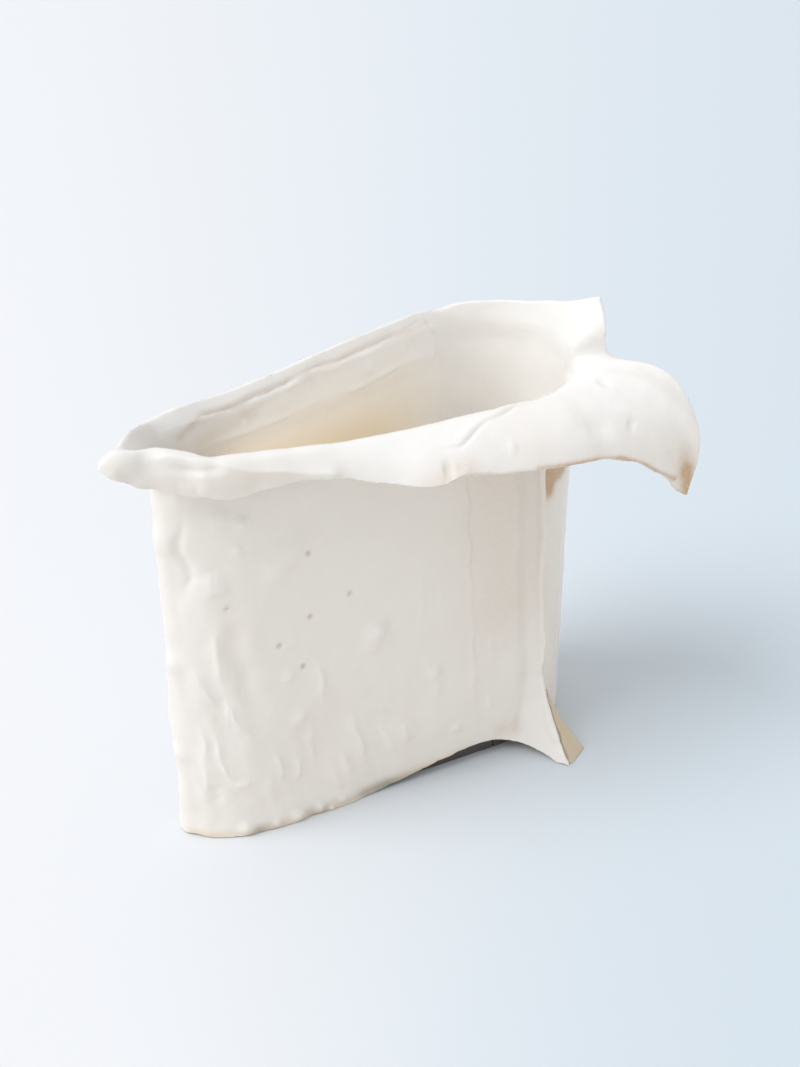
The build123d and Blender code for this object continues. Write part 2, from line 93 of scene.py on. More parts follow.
@dataclass(frozen=True)
class WallPlan:
    """Plan of the walls seen from above: a wedge with a facet, a tight nose and a half-round end.

    The `setback` values say where the corner is rounded off, by how far a point stands out from the
    faces and by its height from the rim. The `fold` values say where the outer face is folded.
    """

    front_y: float = -35.0
    corner_x: float = -70.5
    front_run: float = 135.0
    facet_run: float = 17.5
    facet_angle: float = 40.0
    nose_radius: float = 8.0
    back_angle: float = 19.8
    back_run: float = 153.0
    slab: float = 4.0
    height: float = 155.0
    seam_x_foot: float = 41.0
    seam_x_top: float = 29.5
    seam_bevel: float = 40.0
    lap_margin: float = 14.0
    collar_angle: float = -28.3
    lap_start: tuple[float, float] = (10.5, -61.0)
    lap_stop: tuple[float, float] = (63.5, -31.0)
    setback_cavity: Span = (-14.0, -7.0)
    setback_skin: Span = (-2.5, -0.8)
    setback_lip: Span = (1.2, 2.5)
    setback_below: float = 5.0
    setback_above: float = 3.0
    fold_depth: Span = (1.6, 3.0)
    fold_heights: Span = (30.0, 78.0)
    fold_left: Span = (-20.0, 48.0)
    fold_corner: Span = (-72.0, -56.0)
    fold_fade: float = 118.0
    fold_clear: float = 4.0
    fold_least: float = 0.35
    fold_at_corner: float = 0.85

    @property
    def corner(self) -> Vector:
        """The upright corner between front and facet."""
        return Vector((self.corner_x, self.front_y))

    @property
    def corner_out(self) -> Vector:
        """Direction of the mitre in that corner, outward."""
        return polar(270.0 - self.facet_angle / 2)

    @property
    def facet_out(self) -> Vector:
        """Outward direction of the facet."""
        return polar(270.0 - self.facet_angle)

    @property
    def facet_end(self) -> Vector:
        """Where the facet goes over into the nose."""
        return self.corner + polar(180.0 - self.facet_angle, self.facet_run)

    @property
    def nose(self) -> Vector:
        """Centre of the nose's turn."""
        return self.facet_end - self.facet_out * self.nose_radius

    @property
    def back_out(self) -> Vector:
        """Outward direction of the back."""
        return polar(90.0 + self.back_angle)

    @property
    def back_start(self) -> Vector:
        """Where the nose goes over into the back."""
        return self.nose + self.back_out * self.nose_radius

    @property
    def back_end(self) -> Vector:
        """Where the back meets the half-round end."""
        return self.back_start + polar(self.back_angle, self.back_run)

    @property
    def inner_y(self) -> float:
        """Inner face of the front."""
        return self.front_y + self.slab

    @property
    def end_x(self) -> float:
        """Where the front stops and the half-round end starts."""
        return self.corner_x + self.front_run

    @property
    def end_radius(self) -> float:
        """Outer radius of the half-round end."""
        across = self.back_end.y - self.inner_y
        return (across**2 + (self.back_end.x - self.end_x) ** 2) / across / 2

    @property
    def end(self) -> Vector:
        """Centre of the half-round end."""
        return Vector((self.end_x, self.inner_y + self.end_radius))

    @property
    def back_corner_angle(self) -> float:
        """Direction of the back's end seen from the centre of the half-round end."""
        corner = self.back_end - self.end
        return math.degrees(math.atan2(corner.y, corner.x))

    @property
    def mitre_out(self) -> Vector:
        """Direction of the mitre between end and back, outward."""
        return polar((self.back_corner_angle + 90.0 + self.back_angle) / 2)

    def seam_point(self, y: float, share: float) -> Vector:
        """A point of the bevelled seam on the front.

        Args:
            y: how far back the point lies.
            share: height as a share of the wall, from 0 at the foot to 1 at the top.

        Returns:
            The point seen from above.
        """
        x = self.seam_x_foot + (self.seam_x_top - self.seam_x_foot) * share
        return Vector((x + (y - self.front_y) * math.tan(math.radians(self.seam_bevel)), y))

    def lap_point(self, past: float) -> Vector:
        """A point of the front lip's diagonal lap, so many millimetres past its inner end."""
        start, stop = Vector(self.lap_start), Vector(self.lap_stop)
        return stop + (stop - start).normalized() * past

    def depth(self, points: np.ndarray) -> np.ndarray:
        """How deep points lie inside the outer faces of the walls.

        Args:
            points: places, one row each.

        Returns:
            The depth of each, negative outside.
        """
        flat = points[:, :2]
        front = flat[:, 1] - self.front_y
        facet = (np.array(self.corner) - flat) @ np.array(self.facet_out)
        back = (np.array(self.back_start) - flat) @ np.array(self.back_out)
        end = self.end_radius - np.linalg.norm(flat - np.array(self.end), axis=1)
        end = np.where(flat[:, 0] > self.end_x, end, np.inf)
        from_nose = flat - np.array(self.nose)
        past_facet = from_nose @ np.array(polar(180.0 - self.facet_angle)) > 0.0
        past_back = from_nose @ np.array(polar(180.0 + self.back_angle)) > 0.0
        turn = self.nose_radius - np.linalg.norm(from_nose, axis=1)
        turn = np.where(past_facet & past_back, turn, np.inf)
        return np.min([front, facet, back, end, turn], axis=0)

    def corner_setback(self, points: np.ndarray, ease: float, level: float) -> np.ndarray:
        """How far the upright corner between front and facet is rounded off.

        Args:
            points: places on the clay, one row each.
            ease: size of the rounding.
            level: how far the clay lies outside the flat faces.

        Returns:
            The outward vector by which each point is set back.
        """
        front = self.front_y - points[:, 1]
        facet = (points[:, :2] - np.array(self.corner)) @ np.array(self.facet_out)
        near = np.clip(ease - np.abs(front - facet), 0.0, None)
        proud = np.maximum(front, facet)
        round_off = near**2 / (4.0 * ease)
        skin = np.clip(proud + round_off - level, 0.0, None) * (near > 0.0)
        within = round_off * smooth_step(proud, *self.setback_cavity)
        share = smooth_step(proud, *self.setback_skin)
        amount = (share * skin + (1.0 - share) * within) / math.cos(math.radians(self.facet_angle / 2))
        clear_of_lip = 1.0 - smooth_step(proud, *self.setback_lip)
        rim = (self.height - self.setback_below, self.height + self.setback_above)
        below_lip = 1.0 - smooth_step(points[:, 2], *rim)
        return (amount * clear_of_lip * below_lip)[:, None] * np.array([*self.corner_out, 0.0])

    def fold_cover(self, points: np.ndarray) -> np.ndarray:
        """How strongly the outer face is folded: low on the front, and round the corner.

        Args:
            points: places on the clay, one row each.

        Returns:
            A value from 0 to 1 for each point.
        """
        outer = 1.0 - smooth_step(self.depth(points), *self.fold_depth)
        low = 1.0 - smooth_step(points[:, 2], *self.fold_heights)
        left = 1.0 - smooth_step(points[:, 0], *self.fold_left)
        corner = 1.0 - smooth_step(points[:, 0], *self.fold_corner)
        below_lip = 1.0 - smooth_step(points[:, 2], self.fold_fade, self.height - self.fold_clear)
        front = low * (self.fold_least + (1.0 - self.fold_least) * left)
        return outer * below_lip * np.maximum(front, self.fold_at_corner * corner)


PLAN = WallPlan()


@dataclass(frozen=True)
class Mark:
    """A mark of the hand along a line on the clay: a ridge, drip, bump, crease or dent.

    `height` is negative for a groove or a dent, `facing` is the side of the slab that it is on, and a
    low `crest` gives a sharp ridge where 2 gives a round one. The mark runs out towards the ends of its
    line over the share `taper`, down to the share `at_ends` of its height, and wanders a little to both
    sides. It shows fully where the clay faces its way by more than the upper value of `turned`.
    """

    path: tuple[Point, ...]
    width: float
    height: float
    facing: Point
    crest: float = 2.0
    taper: float = 0.4
    wander: float = 0.7
    wander_length: float = 3.0
    widths_reached: float = 3.0
    turned: Span = (0.05, 0.6)
    at_ends: float = 0.15

    def relief(self, points: np.ndarray, normals: np.ndarray) -> np.ndarray:
        """Height that the mark adds along the normals.

        Args:
            points: places on the clay, one row each.
            normals: outward normals there.

        Returns:
            The added height of each point.
        """
        added = np.zeros(len(points))
        corners = np.array(self.path)
        reach = self.width * self.widths_reached + self.wander
        near = ((points > corners.min(0) - reach) & (points < corners.max(0) + reach)).all(1)
        if not near.any():
            return added
        close = points[near]
        if len(corners) > 1:
            close = close + self.wander * np.sin(close[:, [2, 0, 1]] / self.wander_length + self.width)
        away, share = distance_to_path(close, corners)
        side = smooth_step(normals[near] @ np.array(self.facing), *self.turned)
        height = self.height * side
        if len(corners) > 1:
            full = smooth_step(np.minimum(share, 1.0 - share), 0.0, self.taper)
            height = height * (self.at_ends + (1.0 - self.at_ends) * full)
        added[near] = height * np.exp(-((away / self.width) ** self.crest))
        return added


@dataclass(frozen=True)
class StainAndShade:
    """A line along which the surface takes a warm tint. Some are glaze thin over the clay and brown pits;
    those marked in the list are painted shade.
    """

    path: tuple[Point, ...]
    width: float
    strength: float

    def cover(self, points: np.ndarray) -> np.ndarray:
        """How strongly the stain shows at each point."""
        away, _ = distance_to_path(points, np.array(self.path))
        return self.strength * np.exp(-((away / self.width) ** 2))


def distance_to_path(points: np.ndarray, corners: np.ndarray) -> tuple[np.ndarray, np.ndarray]:
    """Distance of points from a line with straight runs.

    Args:
        points: places, one row each.
        corners: corners of the line, or a single place.

    Returns:
        The distance of each point, and how far along the line it lies, from 0 to 1.
    """
    if len(corners) == 1:
        return np.linalg.norm(points - corners[0], axis=1), np.full(len(points), 0.5)
    nearest = np.full(len(points), np.inf)
    place = np.zeros(len(points))
    runs = np.diff(corners, axis=0)
    lengths = np.linalg.norm(runs, axis=1)
    starts = np.concatenate([[0.0], np.cumsum(lengths)])
    for corner, run, length, start in zip(corners, runs, lengths, starts):
        share = np.clip((points - corner) @ run / length**2, 0.0, 1.0)
        away = np.linalg.norm(points - (corner + share[:, None] * run), axis=1)
        place = np.where(away < nearest, (start + share * length) / starts[-1], place)
        nearest = np.minimum(nearest, away)
    return nearest, place


@dataclass(frozen=True)
class Pull:
    """A place where the clay is drawn out to a point."""

    place: Point
    reach: float
    way: Point

    def offset(self, points: np.ndarray) -> np.ndarray:
        """How far each point of the clay is drawn."""
        away = np.linalg.norm(points - np.array(self.place), axis=1)
        return np.exp(-away / self.reach)[:, None] * np.array(self.way)


@dataclass(frozen=True)
class Blend:
    """A line along which slabs are smeared into one another, or an edge is rubbed round, by hand."""

    path: tuple[Point, ...]
    reach: float
    strength: float = 1.0

    def cover(self, points: np.ndarray) -> np.ndarray:
        """How strongly each point of the clay is smeared."""
        away, _ = distance_to_path(points, np.array(self.path))
        return self.strength * np.exp(-((away / self.reach) ** 2))


FRONT = (0.0, -1.0, 0.0)
FACET = (-0.64, -0.77, 0.0)
LIP_TOP = (-0.1, -0.4, 0.9)
LIP_BAND = (-0.2, -0.95, 0.2)
WING_TOP = (0.1, -0.4, 0.9)
BAND = (0.34, -0.94, 0.0)
FIN_EDGE = (0.67, -0.74, 0.0)
FIN_FACE = (-0.4, -0.92, 0.0)
TIP_SIDE = (-0.55, -0.6, -0.58)

SHARP = 1.25
CRISP = 1.4
BLUNT = 1.6


def on_front(width: float, height: float, *places: tuple[float, float], crest: float = 2.0) -> Mark:
    """A mark on the front, by places along it and heights above the table."""
    path = tuple((x, PLAN.front_y, z) for x, z in places)
    return Mark(path, width, height, FRONT, crest)


def on_facet(width: float, height: float, *places: tuple[float, float], crest: float = 2.0) -> Mark:
    """A mark on the facet, by distances from the corner and heights above the table."""
    along = polar(180.0 - PLAN.facet_angle)
    path = tuple((*(PLAN.corner + along * run), z) for run, z in places)
    return Mark(path, width, height, FACET, crest)


PITS = [(-67.4, 104.9), (-35.2, 120.4), (-48.4, 84.6), (-39.0, 72.7), (-35.5, 93.6), (-18.7, 98.8)]

BUMPS_ON_FRONT = [
    on_front(3.4, 0.9, (-68.0, 141.5)),
    on_front(2.4, 1.5, (-60.6, 139.2)),
    on_front(2.2, 0.9, (-62.6, 128.6)),
    on_front(5.0, 1.8, (-52.0, 108.0), (-47.7, 118.0), (-38.5, 124.5), (-31.5, 127.0)),
    on_front(3.8, 2.6, (-7.8, 79.4)),
    on_front(4.6, 1.0, (-8.5, 77.0), (-12.7, 68.0)),
    on_front(3.2, 1.4, (-41.3, 49.7)),
    on_front(2.8, 1.2, (19.3, 52.3)),
    on_front(2.2, 0.9, (29.4, 20.4)),
    on_front(2.8, 1.6, (-66.0, 3.5)),
    on_front(1.7, 1.0, (-53.0, 2.6)),
    on_front(2.4, 1.5, (-44.0, 3.2)),
    on_front(1.8, 1.1, (-34.0, 3.4)),
    on_front(1.6, 0.9, (-24.0, 3.8)),
]

WRINKLES_ON_FRONT = [
    on_front(2.4, 1.3, (-48.9, 67.3), (-41.0, 72.0), crest=SHARP),
    on_front(1.6, 1.3, (-33.0, 73.5), (-30.4, 54.3), crest=SHARP),
    on_front(1.8, 1.5, (-37.2, 44.8), (-36.7, 25.3), crest=SHARP),
    on_front(2.0, 1.5, (-19.7, 45.9), (-12.3, 18.8), crest=SHARP),
    on_front(1.8, 1.1, (-24.5, 28.2), (-16.9, 11.7), crest=SHARP),
    on_front(1.8, 1.3, (-6.4, 34.1), (2.8, 15.9), crest=SHARP),
    on_front(1.6, 1.1, (2.8, 33.4), (7.4, 20.5), crest=SHARP),
    on_front(1.7, 1.2, (-51.3, 37.9), (-50.7, 22.0), crest=SHARP),
    on_front(1.7, 1.2, (-44.0, 32.9), (-42.3, 18.5), crest=SHARP),
    on_front(1.6, 1.0, (16.5, 58.0), (21.4, 36.9), crest=SHARP),
    on_front(1.5, 0.8, (37.7, 56.1), (38.3, 33.8), crest=SHARP),
    on_front(1.2, 0.7, (-16.4, 47.2), (2.8, 38.3), crest=SHARP),
    on_front(1.5, 0.9, (-28.0, 22.0), (-25.0, 8.0), crest=SHARP),
    on_front(1.4, 0.8, (-56.0, 30.0), (-53.5, 12.0), crest=SHARP),
    on_front(1.2, 1.2, (29.8, 152.0), (31.0, 133.0), (32.9, 108.0), (35.2, 80.0), crest=BLUNT),
    on_front(0.9, 0.6, (34.8, 84.0), (37.1, 60.0), (38.2, 36.0), crest=CRISP),
    on_front(1.0, 0.35, (12.7, 100.0), (11.8, 73.5)),
    on_front(0.9, 0.5, (-39.5, 151.0), (-32.2, 133.0), crest=CRISP),
    on_front(1.1, 0.6, (46.0, 60.0), (47.0, 48.0), crest=SHARP),
    on_front(1.2, 0.6, (44.5, 34.0), (45.5, 24.0), crest=SHARP),
    on_front(0.9, 0.5, (20.0, 100.0), (21.5, 80.0), crest=SHARP),
]

WRINKLES_AT_CORNER = [
    on_front(4.2, -1.7, (-66.5, 103.0), (-66.0, 88.0), (-62.0, 69.7), (-58.0, 50.1)),
    on_facet(4.0, 1.4, (3.0, 121.0), (-1.0, 108.0)),
    on_front(1.8, 1.5, (-72.5, 67.7), (-68.0, 56.8), (-62.3, 48.9), crest=SHARP),
    on_front(1.6, 1.1, (-70.5, 25.5), (-62.5, 26.0), crest=SHARP),
    on_facet(1.8, 1.6, (7.0, 49.8), (3.8, 37.2), (-0.7, 25.9), crest=SHARP),
    on_facet(2.0, 1.5, (13.4, 81.4), (9.4, 72.2), (5.0, 60.0), crest=SHARP),
    on_facet(2.4, 1.3, (1.0, 98.0), (2.5, 84.0), (0.5, 70.0), crest=BLUNT),
    on_facet(1.8, -1.2, (12.5, 143.0), (13.7, 127.6), (10.5, 117.8), (12.8, 109.3)),
    on_facet(3.0, -1.0, (8.5, 27.0), (6.0, 14.0)),
    on_facet(1.6, 1.0, (12.0, 60.0), (10.0, 40.0), (11.5, 18.0), crest=SHARP),
    on_facet(6.0, 1.5, (20.0, 132.0)),
    on_facet(4.0, 1.0, (21.0, 80.0)),
    on_facet(4.0, 0.9, (20.5, 39.0)),
    on_facet(4.0, -1.4, (18.0, 150.0)),
]

LIP_FOLD = (
    (-70.6, -39.7, 167.3),
    (-66.3, -42.0, 165.1),
    (-61.3, -43.0, 162.9),
    (-55.5, -43.7, 161.1),
    (-49.2, -44.5, 159.6),
    (-42.2, -45.3, 157.9),
    (-35.1, -46.4, 156.4),
    (-26.1, -47.6, 154.4),
)

LIP_MARKS = [
    Mark(((-95.0, -34.0, 171.5), (-80.0, -36.0, 169.5), (-66.7, -39.1, 167.3)), 1.8, 0.8, LIP_TOP, 1.5),
    Mark(LIP_FOLD, 2.4, 1.5, LIP_TOP, 1.1, 0.12, 0.3),
    Mark(((-88.0, -35.3, 167.8), (-76.0, -40.1, 165.9), (-64.0, -42.0, 163.5)), 1.8, -0.9, LIP_BAND),
    Mark(((-84.0, -38.5, 160.0), (-78.0, -41.0, 159.0)), 3.0, 0.7, LIP_BAND),
    Mark(((-57.0, -44.7, 157.0),), 3.5, -0.6, LIP_BAND),
    Mark(((7.1, -56.5, 153.2), (12.8, -57.2, 153.0)), 3.0, -1.0, LIP_TOP),
]

LAP_LINE = (
    (11.9, -50.9, 157.7),
    (18.7, -50.6, 158.0),
    (28.2, -46.8, 160.0),
    (35.5, -43.2, 161.5),
    (47.0, -40.5, 162.0),
    (57.5, -36.8, 162.6),
    (63.5, -33.2, 162.0),
)

WING_MARKS = [
    Mark(LAP_LINE, 0.8, -0.8, WING_TOP, 1.6, 0.25),
    Mark(tuple((x - 1.2, y + 1.8, z + 0.5) for x, y, z in LAP_LINE), 2.0, 0.6, WING_TOP),
    Mark(((60.5, -36.0, 162.6),), 1.8, -0.6, WING_TOP),
    Mark(((90.7, -33.2, 162.7), (97.0, -35.0, 161.0)), 3.0, -0.7, WING_TOP),
    Mark(((92.0, -51.5, 152.5), (96.5, -54.5, 149.5)), 2.4, -0.6, WING_TOP),
    Mark(((70.0, -53.8, 154.0), (84.0, -55.0, 152.0)), 5.0, -0.6, WING_TOP),
    Mark(((84.0, -45.0, 158.5), (104.0, -51.0, 150.0), (116.0, -56.0, 139.0)), 4.0, 0.9, WING_TOP),
    Mark(((108.0, -56.0, 141.0), (114.0, -58.5, 132.0)), 2.4, -0.6, WING_TOP),
    Mark(((36.0, -54.7, 155.0), (41.0, -54.9, 154.8)), 2.6, 0.35, WING_TOP),
]

UPPER_CREASE = (
    (-72.9, -12.7, 165.5),
    (-60.8, -7.6, 169.4),
    (-47.0, -3.0, 169.2),
    (-38.0, 0.5, 170.8),
    (-24.0, 5.4, 170.4),
    (-15.8, 8.7, 171.5),
    (4.0, 15.8, 171.0),
    (20.0, 21.8, 172.2),
    (40.0, 29.0, 171.8),
    (54.0, 34.5, 172.8),
)

BAND_MARKS = [
    Mark(UPPER_CREASE, 0.9, -1.2, BAND, 1.6, 0.1),
    Mark(tuple((x, y, z - 2.2) for x, y, z in UPPER_CREASE), 1.6, 0.5, BAND),
    Mark(((-70.0, -11.6, 158.0), (-37.0, 0.2, 158.6), (-2.0, 12.8, 157.6)), 1.4, 0.6, BAND),
    Mark(((-2.0, 12.8, 157.6), (30.0, 24.3, 158.4), (58.0, 34.4, 157.8)), 1.4, 0.6, BAND),
    Mark(((-11.9, 9.4, 166.5),), 3.0, -1.2, BAND),
    Mark(((-46.0, -3.0, 164.2), (-40.0, -0.8, 163.0)), 2.6, -1.2, BAND),
    Mark(((-26.0, 4.2, 163.5),), 3.6, 0.8, BAND),
    Mark(((14.0, 18.6, 164.0), (24.0, 22.2, 163.0)), 3.0, 0.7, BAND),
    Mark(((44.0, 29.4, 165.0),), 3.0, -0.8, BAND),
    Mark(((53.6, 35.3, 174.6), (58.0, 34.4, 163.6), (62.5, 36.8, 150.0)), 1.2, -1.0, BAND),
]

FIN_BEND = (
    (58.0, -35.0, 153.0),
    (60.8, -35.2, 95.0),
    (63.8, -35.6, 36.0),
    (61.0, -37.0, 18.0),
    (58.0, -38.3, 8.0),
)
FIN_RIM = ((62.8, -39.3, 153.0), (65.8, -39.3, 95.0), (68.8, -39.3, 38.0))
FIN_LINE = (
    (63.8, -38.4, 154.0),
    (66.9, -38.4, 95.0),
    (69.9, -38.4, 40.0),
    (70.9, -45.2, 17.0),
    (71.7, -51.6, 8.0),
    (72.4, -57.5, 1.0),
)

FIN_MARKS = [
    Mark(FIN_BEND, 2.8, -1.6, FIN_FACE, 2.0, 0.05, 0.3),
    Mark(((69.2, -40.5, 36.0), (69.5, -45.5, 17.0), (70.2, -52.0, 8.0)), 3.6, 1.2, FIN_FACE, 2.0, 0.1),
    Mark(FIN_RIM, 1.8, 1.0, FIN_FACE, 2.0, 0.1, 0.2),
    Mark(((69.5, -39.5, 60.0), (69.8, -40.0, 48.0)), 4.0, 1.0, FIN_EDGE),
    Mark(((69.0, -40.0, 38.5),), 3.0, -1.4, FIN_EDGE),
    Mark(((68.0, -39.5, 82.0),), 7.0, -0.4, FIN_EDGE),
    Mark(((66.5, -39.5, 106.0),), 8.0, 0.4, FIN_EDGE),
]

TIP_MARKS = [
    Mark(((-104.0, -35.0, 168.0),), 2.4, 0.5, TIP_SIDE),
    Mark(((-100.0, -36.0, 165.0),), 2.2, -0.6, TIP_SIDE),
    Mark(((-95.5, -37.0, 161.8),), 2.6, 0.7, TIP_SIDE),
    Mark(((-90.5, -38.5, 159.2),), 2.4, -0.5, TIP_SIDE),
]

HAND_MARKS = [
    *BUMPS_ON_FRONT,
    *WRINKLES_ON_FRONT,
    *WRINKLES_AT_CORNER,
    *(on_front(0.9, -1.1, place) for place in PITS),
    *LIP_MARKS,
    *WING_MARKS,
    *BAND_MARKS,
    *FIN_MARKS,
    *TIP_MARKS,
]

PULLS = [
    Pull((105.9, -4.3, 185.8), 4.0, (5.0, -2.8, 0.7)),
    Pull((116.2, -59.9, 121.0), 4.0, (2.3, -1.4, -3.2)),
    Pull((-106.4, -32.1, 169.9), 5.0, (-2.2, 0.6, 0.2)),
]

END_RING = tuple(
    (*(PLAN.end + polar(angle, PLAN.end_radius - 3.5)), PLAN.height)
    for angle in np.linspace(-40.0, PLAN.back_corner_angle, 12)
)

BLENDS = [
    Blend(((78.0, -27.0, 157.0), (92.0, -18.0, 158.0), (108.0, -18.0, 163.0)), 9.0),
    Blend(((60.0, 35.0, 152.0), (61.5, 36.0, 163.0), (62.3, 40.0, 175.0)), 6.0),
    Blend(((-80.0, -13.0, 156.0), (-81.0, -11.0, 166.0), (-81.8, -9.5, 174.0)), 5.0),
    Blend(((-72.0, -43.5, 154.0), (-71.0, -42.0, 160.0), (-70.5, -37.0, 167.0)), 5.5),
    Blend(((-79.0, -15.2, 155.0), (63.0, 36.4, 155.0)), 3.5),
    Blend(END_RING, 5.0),
    Blend(FIN_LINE, 2.6, 0.3),
]

FOOT_EDGE = (
    (-84.5, -22.5, 1.4),
    (-70.0, -34.4, 1.4),
    (-27.5, -34.8, 1.2),
    (10.5, -34.8, 4.4),
    (36.0, -34.8, 7.0),
)
FOOT_CRUMBS = ((-79.0, -24.5, 1.2), (-67.0, -32.8, 1.2), (-45.0, -34.2, 1.2), (-26.0, -34.2, 1.2))


@dataclass(frozen=True)
class CrumbRow:
    """Crumbs of clay left along a worked edge."""

    path: tuple[Point, ...]
    spacing: float
    least: float
    greatest: float
    spread: float


CRUMB_ROWS = [CrumbRow(FOOT_CRUMBS, 2.6, 1.4, 2.4, 0.6)]


# Places of the colour sockets on a mix node
MIX_SHARE = 0
MIX_BELOW = 6
MIX_ABOVE = 7
MIX_RESULT = 2


@dataclass(frozen=True)
class Wiring:
    """Adds nodes to a node tree and joins their sockets by name."""

    tree: bpy.types.NodeTree

    def node(self, kind: str, inputs: dict | None = None, **settings: object) -> bpy.types.Node:
        """One node.

        Args:
            kind: Blender's name for the node type.
            inputs: a value, or the socket that feeds it, for each named input.
            settings: the node's own properties.

        Returns:
            The new node.
        """
        made = self.tree.nodes.new(kind)
        for name, value in settings.items():
            setattr(made, name, value)
        for name, value in (inputs or {}).items():
            self.feed(next(s for s in made.inputs if s.name == name and s.enabled), value)
        return made

    def feed(self, socket: bpy.types.NodeSocket, value: object) -> None:
        """Links a socket, or sets its value.

        Args:
            socket: the input of a node.
            value: the socket that feeds it, or its value.
        """
        if isinstance(value, bpy.types.NodeSocket):
            self.tree.links.new(value, socket)
        elif isinstance(value, tuple) and len(value) == 3 and socket.type == "RGBA":
            socket.default_value = (*value, 1.0)
        else:
            socket.default_value = value

    def blend(self, share: object, below: object, above: object) -> bpy.types.NodeSocket:
        """A mix of two colours.

        Args:
            share: how much of the second colour is in it.
            below: the first colour.
            above: the second colour.

        Returns:
            The socket with the mixed colour.
        """
        mix = self.tree.nodes.new("ShaderNodeMix")
        mix.data_type = "RGBA"
        self.feed(mix.inputs[MIX_SHARE], share)
        self.feed(mix.inputs[MIX_BELOW], below)
        self.feed(mix.inputs[MIX_ABOVE], above)
        return mix.outputs[MIX_RESULT]

    def maths(
        self, operation: str, first: object, second: object = 0.0, clamp: bool = False
    ) -> bpy.types.NodeSocket:
        """A sum, product or other result of two numbers.

        Args:
            operation: Blender's name for it.
            first: the first number, or its socket.
            second: the second one.
            clamp: whether the result is kept between 0 and 1.

        Returns:
            The socket with the result.
        """
        made = self.tree.nodes.new("ShaderNodeMath")
        made.operation = operation
        made.use_clamp = clamp
        self.feed(made.inputs[0], first)
        self.feed(made.inputs[1], second)
        return made.outputs[0]

    def vectors(self, operation: str, first: object, second: object) -> bpy.types.NodeSocket:
        """A sum, difference or other result of two vectors, or a vector scaled by a number."""
        made = self.tree.nodes.new("ShaderNodeVectorMath")
        made.operation = operation
        self.feed(made.inputs[0], first)
        self.feed(made.inputs["Scale"] if operation == "SCALE" else made.inputs[1], second)
        return made.outputs["Value"] if operation == "DOT_PRODUCT" else made.outputs[0]


def new_tree(name: str, kind: str, inputs: dict[str, str], outputs: dict[str, str]) -> bpy.types.NodeTree:
    """An empty node tree with named sockets.

    Args:
        name: the tree's name.
        kind: Blender's name for the tree type.
        inputs: socket type of each input.
        outputs: socket type of each output.

    Returns:
        The tree.
    """
    tree = bpy.data.node_groups.new(name, kind)
    for way, sockets in (("INPUT", inputs), ("OUTPUT", outputs)):
        for label, socket_type in sockets.items():
            tree.interface.new_socket(name=label, in_out=way, socket_type=socket_type)
    return tree


class ClayTree:
    """A Geometry Nodes tree with named inputs that ends in real geometry with a material."""

    name: str
    numbers: tuple[str, ...]

    def __init__(self) -> None:
        """Builds the tree once."""
        inputs = {"Geometry": "NodeSocketGeometry"}
        inputs.update({label: "NodeSocketFloat" for label in self.numbers})
        inputs["Material"] = "NodeSocketMaterial"
        self.tree = new_tree(self.name, "GeometryNodeTree", inputs, {"Geometry": "NodeSocketGeometry"})
        wire = Wiring(self.tree)
        given = wire.node("NodeGroupInput").outputs
        shaped = self.shape(wire, given)
        real = wire.node("GeometryNodeRealizeInstances", {"Geometry": shaped})
        dressed = wire.node(
            "GeometryNodeSetMaterial", {"Geometry": real.outputs[0], "Material": given["Material"]}
        )
        wire.node("NodeGroupOutput", {"Geometry": dressed.outputs[0]})

    def shape(self, wire: Wiring, given: bpy.types.NodeOutputs) -> bpy.types.NodeSocket:
        """Adds the nodes of one kind of work and returns the socket with its geometry."""
        raise NotImplementedError

    def apply(self, piece: bpy.types.Object, values: dict[str, object]) -> None:
        """Works a piece with the tree and leaves it a plain mesh.

        Args:
            piece: the object.
            values: a value for each named input of the tree.
        """
        modifier = piece.modifiers.new(self.name, "NODES")
        modifier.node_group = self.tree
        for item in self.tree.interface.items_tree:
            if item.in_out == "INPUT" and item.name in values:
                modifier[item.identifier] = values[item.name]
        settle(piece)


